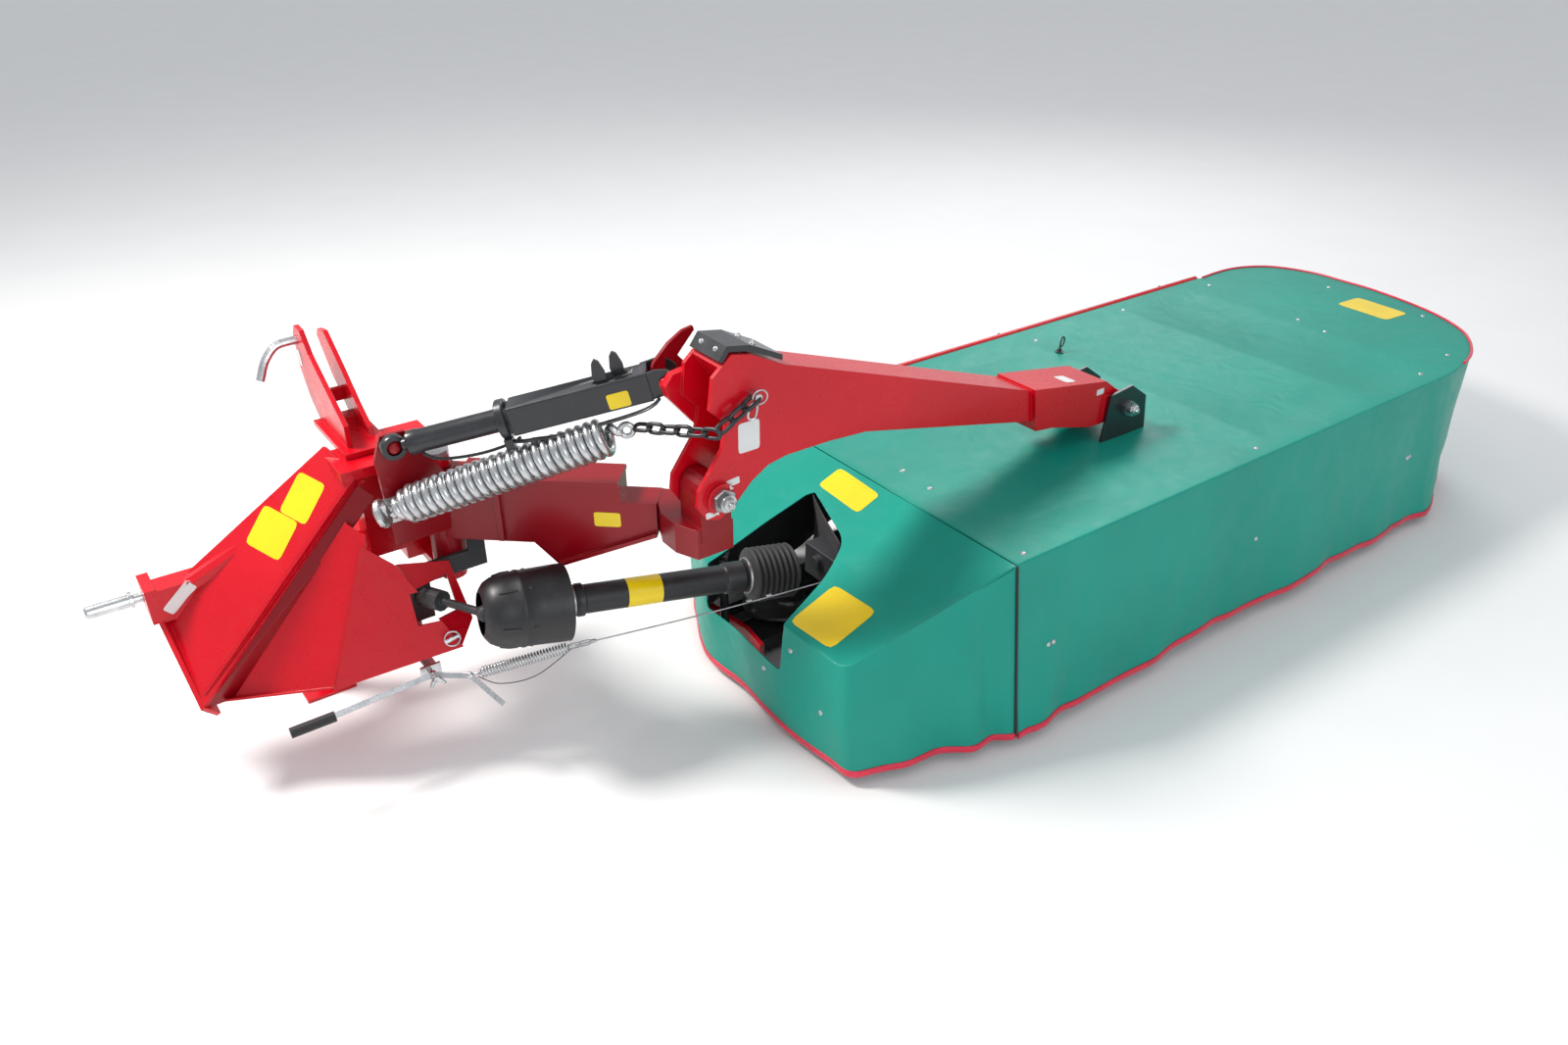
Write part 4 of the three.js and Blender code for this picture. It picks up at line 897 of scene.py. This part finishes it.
# ---- lift cylinder, its lock and the hook plate
def lift_cylinder():
    axis = unit(RAM[1] - RAM[0])
    side = unit(np.cross(axis, (0, 0, 1))) * -1
    side = side if side[1] < 0 else -side
    up = unit(np.cross(side, axis))
    up = up if up[2] > 0 else -up

    def at(s, out=0.0, rise=0.0):
        return along(RAM, s) + side * out / 1000 + up * rise / 1000

    barrel = [(26, 15), (40, 16), (42, 29), (46, 33), (70, 33), (74, 31), (520, 31)]
    eye = [(0, 21), (0, 33), (3, 35), (21, 35), (24, 33), (24, 21)]
    collar = lathe(RAM[0] - (0, 0.012, 0), RAM[0] + (0, 1, 0), eye, 40, closed=True)
    piece("ram_barrel_tube", gather(lathe(*RAM, barrel, 48), collar), BLACK, "ram_base", ("ram_barrel",))
    rod = smooth_line([at(70, 10, -34), at(110, 16, -58), at(210, 18, -70), at(300, 22, -62),
                       at(330, 26, -50)], 40)
    nut = lathe(at(296, 22, -62), at(330, 26, -50), [(0, 5), (1, 7), (18, 7), (20, 4)], 14)
    piece("lock_rod", gather(tube(rod, 0.0042, 10), nut), BLACK, "ram_base")
    length = span(RAM)
    section = [(36, -40), (40, -36), (40, 36), (36, 40), (-36, 40), (-40, 36), (-40, -36), (-36, -40)]
    box = [at(s, a, b) for s in (320, length - 42) for a, b in section]
    sleeve = piece("ram_sleeve_box", (box, ring_faces(2, len(section))), BLACK, "ram_rod", ("ram_sleeve",),
                   smooth=30, bevel=0.002)
    tool = piece("slot_tool", slab(at(length - 130, 0, 40), (0.105, 0.046, 0.07), axis, up), BLACK, "ram_rod")
    slot = sleeve.modifiers.new("slot", "BOOLEAN")
    slot.operation, slot.solver, slot.object = "DIFFERENCE", "EXACT", tool
    settle(sleeve)
    bpy.data.objects.remove(tool)
    clamp = [(0, 36), (0, 50), (3, 53), (21, 53), (24, 50), (24, 36)]
    lug = slab(at(300, 30, -58), (0.024, 0.024, 0.03), axis, up)
    neck = slab(at(330), (0.05, 0.066, 0.066), axis, up)
    piece("ram_clamp_ring", gather(lathe(at(288), at(400), clamp, 40, closed=True), lug, neck), BLACK,
          "ram_rod", bevel=0.001)

    def finger(s, out):
        leaf = [(-16, 36), (-20, 60), (-12, 92), (-2, 104), (8, 96), (16, 66), (15, 46), (20, 36)]
        return plate([at(s + a, out, b) for a, b in leaf], 0.010)

    fingers = gather(finger(length - 158, 22), finger(length - 112, -2))
    piece("lock_fingers", fingers, BLACK, "ram_rod", bevel=0.0015)
    cheek = [(-62, -38), (-62, 36), (-20, 40), (10, 34), (30, 12), (28, -16), (8, -32)]
    cheeks = [plate([at(length + a, out, b) for a, b in cheek], 0.010) for out in (36.0, -46.0)]
    piece("ram_eye_cheeks", gather(*cheeks), BLACK, "ram_rod", bevel=0.0015)
    head = lathe(at(length, 38), at(length, 60), [(0, 17), (8, 17), (11, 15.5), (12, 12)], 32)
    piece("ram_eye_pin", head, RED, "ram_rod", smooth=50)
    bar = [(318, -50), (345, -56), (372, -58), (400, -62), (430, -64), (560, -62), (650, -56), (690, -46),
           (708, -34)]
    strap = smooth_line([at(s, 44, rise) for s, rise in bar], 60)
    piece("lock_bar", tube(strap, 0.0042, 8, wide=2.3), BLACK, "ram_rod", smooth=60)
    piece("lock_bar_bolt", bolt(at(366, 46, -60), side, 8, 7), BLACK, "ram_rod")
    hook = [(-30, -14), (-10, 30), (34, 72), (80, 98), (112, 104), (116, 92), (84, 58), (62, 34), (84, 10),
            (92, -26), (74, -60), (36, -74), (-6, -50)]
    # the hook plate takes the darker copy of the red paint: painted shade
    piece("ram_hook_plate", plate([RAM[1] + mm(a, 40, b) for a, b in hook], 0.012), SHADED_RED, "arm",
          bevel=0.002)
    return at, length, side


drive_line()
ram_at, ram_length, ram_side = lift_cylinder()


# ---- fittings on the painted steel
def small_parts(name, body, *parts):
    piece(name, gather(*parts), ZINC, body)


def fittings():
    outward = np.array((-0.23, -0.94, 0.27))
    spot = mm(-2509, 305, 385) + outward * 0.002
    ring_at = spot + outward * 0.012
    small_parts("guard_lynch_pin", "headstock", ring(ring_at, outward, 0.021, 0.0022, 8),
                lathe(spot - outward * 0.01, spot + outward, [(0, 5), (24, 5), (26, 3.5)], 16),
                tube([ring_at + (-0.02, 0, -0.004), ring_at, ring_at + (0.02, 0, 0.004)], 0.006, 12))
    knee = [bolt(mm(x, y, z), axis, 8, 6)
            for x, z, axis in ((-1876, 1221, (-0.75, 0, 0.66)), (-1770, 1212, (0.4, 0, 0.9)))
            for y in (-48, -112)]
    small_parts("knee_screws", "arm", *knee)
    small_parts("pivot_nuts", "arm", bolt(mm(-320, -214, 680), (0, -1, 0), 17, 12))
    small_parts("lift_pin_nut", "arm", bolt(mm(-1904, -192, 833), (0, -1, 0), 19, 12))
    lip = [mm(-2620, 528, 806), mm(-3128, 552, 268), mm(-3040, 562, 262), mm(-2592, 494, 776)]
    # the lip takes the darker copy of the red paint: painted shade
    piece("guard_lip", plate([p + mm(0, 7, -6) for p in lip], 0.004), SHADED_RED, "headstock")
    small_parts("tower_bolt", "headstock", bolt(mm(-2562, 884, 926), (0, 1, 0), 7, 6))
    clip = smooth_line([mm(46, 433, 590), mm(48, 433, 628), mm(60, 436, 648), mm(74, 438, 634),
                        mm(66, 437, 612), mm(50, 433, 610)], 36)
    foot = lathe(mm(46, 433, 590), mm(46, 433, 700), [(0, 16), (3, 16), (5, 9), (14, 8)], 20)
    piece("cover_clip", gather(tube(clip, 0.0032, 8), foot), BLACK, "mower")
    stud = lathe(mm(-2577, 292, 284), mm(-2577, 0, 284), [(0, 12), (4, 12), (5, 9), (12, 9), (13, 6)], 18)
    wings = [tube([mm(-2577, 284, 284), mm(-2577 + 12 * k, 280, 280), mm(-2577 + 20 * k, 278, 266)],
                  [0.004, 0.006, 0.005], 10) for k in (-1, 1)]
    small_parts("lever_wing_nut", "beam", stud, *wings)


def tree_of(*objects):
    """A search tree of the objects' final surfaces."""
    graph = bpy.context.evaluated_depsgraph_get()
    points, faces = [], []
    for obj in objects:
        own = obj.data if "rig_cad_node" in obj else bpy.data.meshes.new_from_object(obj.evaluated_get(graph))
        start = len(points)
        points += [tuple(obj.matrix_world @ v.co) for v in own.vertices]
        faces += [[i + start for i in p.vertices] for p in own.polygons]
    return BVHTree.FromPolygons(points, faces)


STICKER_GAP, STICKER_SKIN = 0.0009, 0.0005


def label(name, on, centre, normal, right, size, material):
    """A blank sticker pressed on to the surface under it, its corners a little rounded."""
    tree, body, slot = on
    centre, normal = np.array(centre, float) / 1000, unit(normal)
    right = unit(np.array(right) - normal * np.dot(right, normal))
    up = np.cross(normal, right)
    steps = 9
    points = []
    for i in range(steps):
        for j in range(steps):
            a, b = (i / (steps - 1) - 0.5), (j / (steps - 1) - 0.5)
            if abs(a) == 0.5 and abs(b) == 0.5:
                a, b = a * 0.94, b * 0.94
            spot = centre + right * a * size[0] / 1000 + up * b * size[1] / 1000
            found = tree.ray_cast(Vector(spot + normal * 0.06), Vector(-normal), 0.12)[0]
            base = np.array(found) if found is not None else spot
            points.append(base + normal * STICKER_GAP)
    sticker = piece(name, (points, grid_faces(steps, steps)), material, body, smooth=60)
    thicken(sticker, STICKER_SKIN)
    settle(sticker)
    sticker.data.set_sharp_from_angle(angle=math.radians(50))


def labels():
    stock = (tree_of(NODES["headstock_frame"]), "headstock", "red_paint")
    slant, lengthwise = (-0.63, -0.48, 0.61), (0.62, 0.12, 0.77)
    label("strip_label_low", stock, (-2838, 658, 668), slant, lengthwise, (117, 122), YELLOW)
    label("strip_label_high", stock, (-2744, 642, 752), slant, lengthwise, (122, 94), YELLOW)
    label("leg_label", stock, (-3092, 740, 512), (0, -1, 0), (0.75, 0, 0.66), (100, 34), WHITE)
    mast = (tree_of(NODES["top_link_mast"]), "headstock", "red_paint")
    label("tower_label", mast, (-2600, 968, 1020), (-1, 0, 0), (0, 0.2, 1), (46, 24), WHITE)
    beam = (tree_of(NODES["swing_beam"]), "beam", "red_paint")
    label("beam_label", beam, (-2081, 147, 690), (-0.66, -0.75, 0), (0.75, -0.66, 0), (74, 44), YELLOW)
    arm = (tree_of(NODES["lift_arm"]), "arm", "red_paint")
    for n, (x, z, wide, high, lean) in enumerate(((-1810, 982, 66, 84, 0.0), (-1862, 866, 40, 20, 0.1),
                                                  (-1932, 792, 32, 18, 0.1), (-445, 760, 34, 20, 0.0))):
        label(f"arm_label_{n + 1}", arm, (x, -150, z), (0, -1, 0), (1, 0, lean), (wide, high), WHITE)
    label("head_label", arm, (-560, -110, 812), (0.15, 0, 0.99), (1, 0, 0), (46, 58), WHITE)
    sleeve = (tree_of(bpy.data.objects["ram_sleeve_box"]), "ram_rod", "black_paint")
    spot = ram_at(ram_length - 128, 40, -12) * 1000
    label("sleeve_label", sleeve, spot, ram_side, RAM[1] - RAM[0], (58, 42), YELLOW)
    cover = (tree_of(bpy.data.objects["cover_sheet"], inner), "mower", "canvas")
    slope = (-0.36, 0, 0.93)
    for name, spot, normal, right, size in (
            ("outer", (1486, -8, 590), (0, 0, 1), (0.06, 1, 0), (232, 150)),
            ("middle", (-150, 215, 590), (0, 0, 1), (0, 1, 0), (220, 150)),
            ("slope", (-1288, 76, 565), slope, (0.05, 1, 0), (206, 92)),
            ("end", (-1632, -286, 434), slope, (-0.06, 1, 0), (176, 176))):
        label("cover_label_" + name, cover, spot, normal, right, size, YELLOW)
    rivets(cover[0])


def rivets(tree):
    """Rivet heads on the cover's top, rear side and inner end, each dropped on to the cloth."""
    top = [(x, y, 800) for x, y in (
        (-1094, 45), (-1104, -93), (-1161, -540), (-67, -523), (65, 574), (1186, 587), (1115, 97),
        (1080, -46), (1592, 258), (1577, -182), (1230, -470), (970, -507), (-600, 590), (620, 600))]
    rear = [(x, -1200, z) for x, z in ((-1097, 298), (-1078, 300), (840, 316), (859, 317), (-100, 300))]
    end = [(-2200, y, z) for y, z in ((-240, 330), (-120, 200), (-380, 200))]
    heads = []
    for places, way, reach, axis, size in ((top, (0, 0, -1), 0.5, (0, 0, 1), 9),
                                           (rear, (0, 1, 0), 1.0, (0, -1, 0.15), 8),
                                           (end, (1, 0, 0), 1.0, (-1, 0, 0.1), 8)):
        found = [tree.ray_cast(Vector(mm(*place)), Vector(way), reach)[0] for place in places]
        heads += [rivet(spot, axis, size) for spot in found if spot is not None]
    piece("cover_rivets", gather(*heads), ZINC, "mower", smooth=60)


fittings()
labels()


# ---- finishes of the CAD nodes
FINISH = {
    RED: ["headstock_frame", "top_link_mast", "drive_guard", "lift_arm", "parking_stand", "main_rail",
          "inner_shoe", "outer_shoe"],
    # the swing beam takes the darker copy of the red paint: painted shade
    SHADED_RED: ["swing_beam"],
    BLACK: ["knee_cover", "ram_barrel", "ram_sleeve", "pivot_bracket", "hood_frame"],
    IRON: ["drive_gearbox", "cutterbar", "mower_gearbox"],
    ZINC: ["top_link_pin", "link_pin_left", "link_pin_right", "balance_spring", "spring_anchor",
           "release_lever", "lever_bracket", "latch_spring"],
    STEEL: ["swing_pin", "lift_pin", "tilt_pin", "latch_cable", *[f"disc_{i}" for i in range(1, 9)],
            *[f"skid_{i}" for i in range(1, 8)]],
    CHAIN: ["balance_chain"],
    PLASTIC: ["shaft_inner", "bell_guard", "shaft_outer"],
    RUBBER: ["bellows_guard", "lever_grip", "shaft_flap"],
    CANVAS: ["top_canvas", "rear_canvas", "inner_canvas", "outer_canvas", "front_guard"],
}
for material, names in FINISH.items():
    for name in names:
        node = NODES[name]
        for entry in node.material_slots:
            entry.material = material
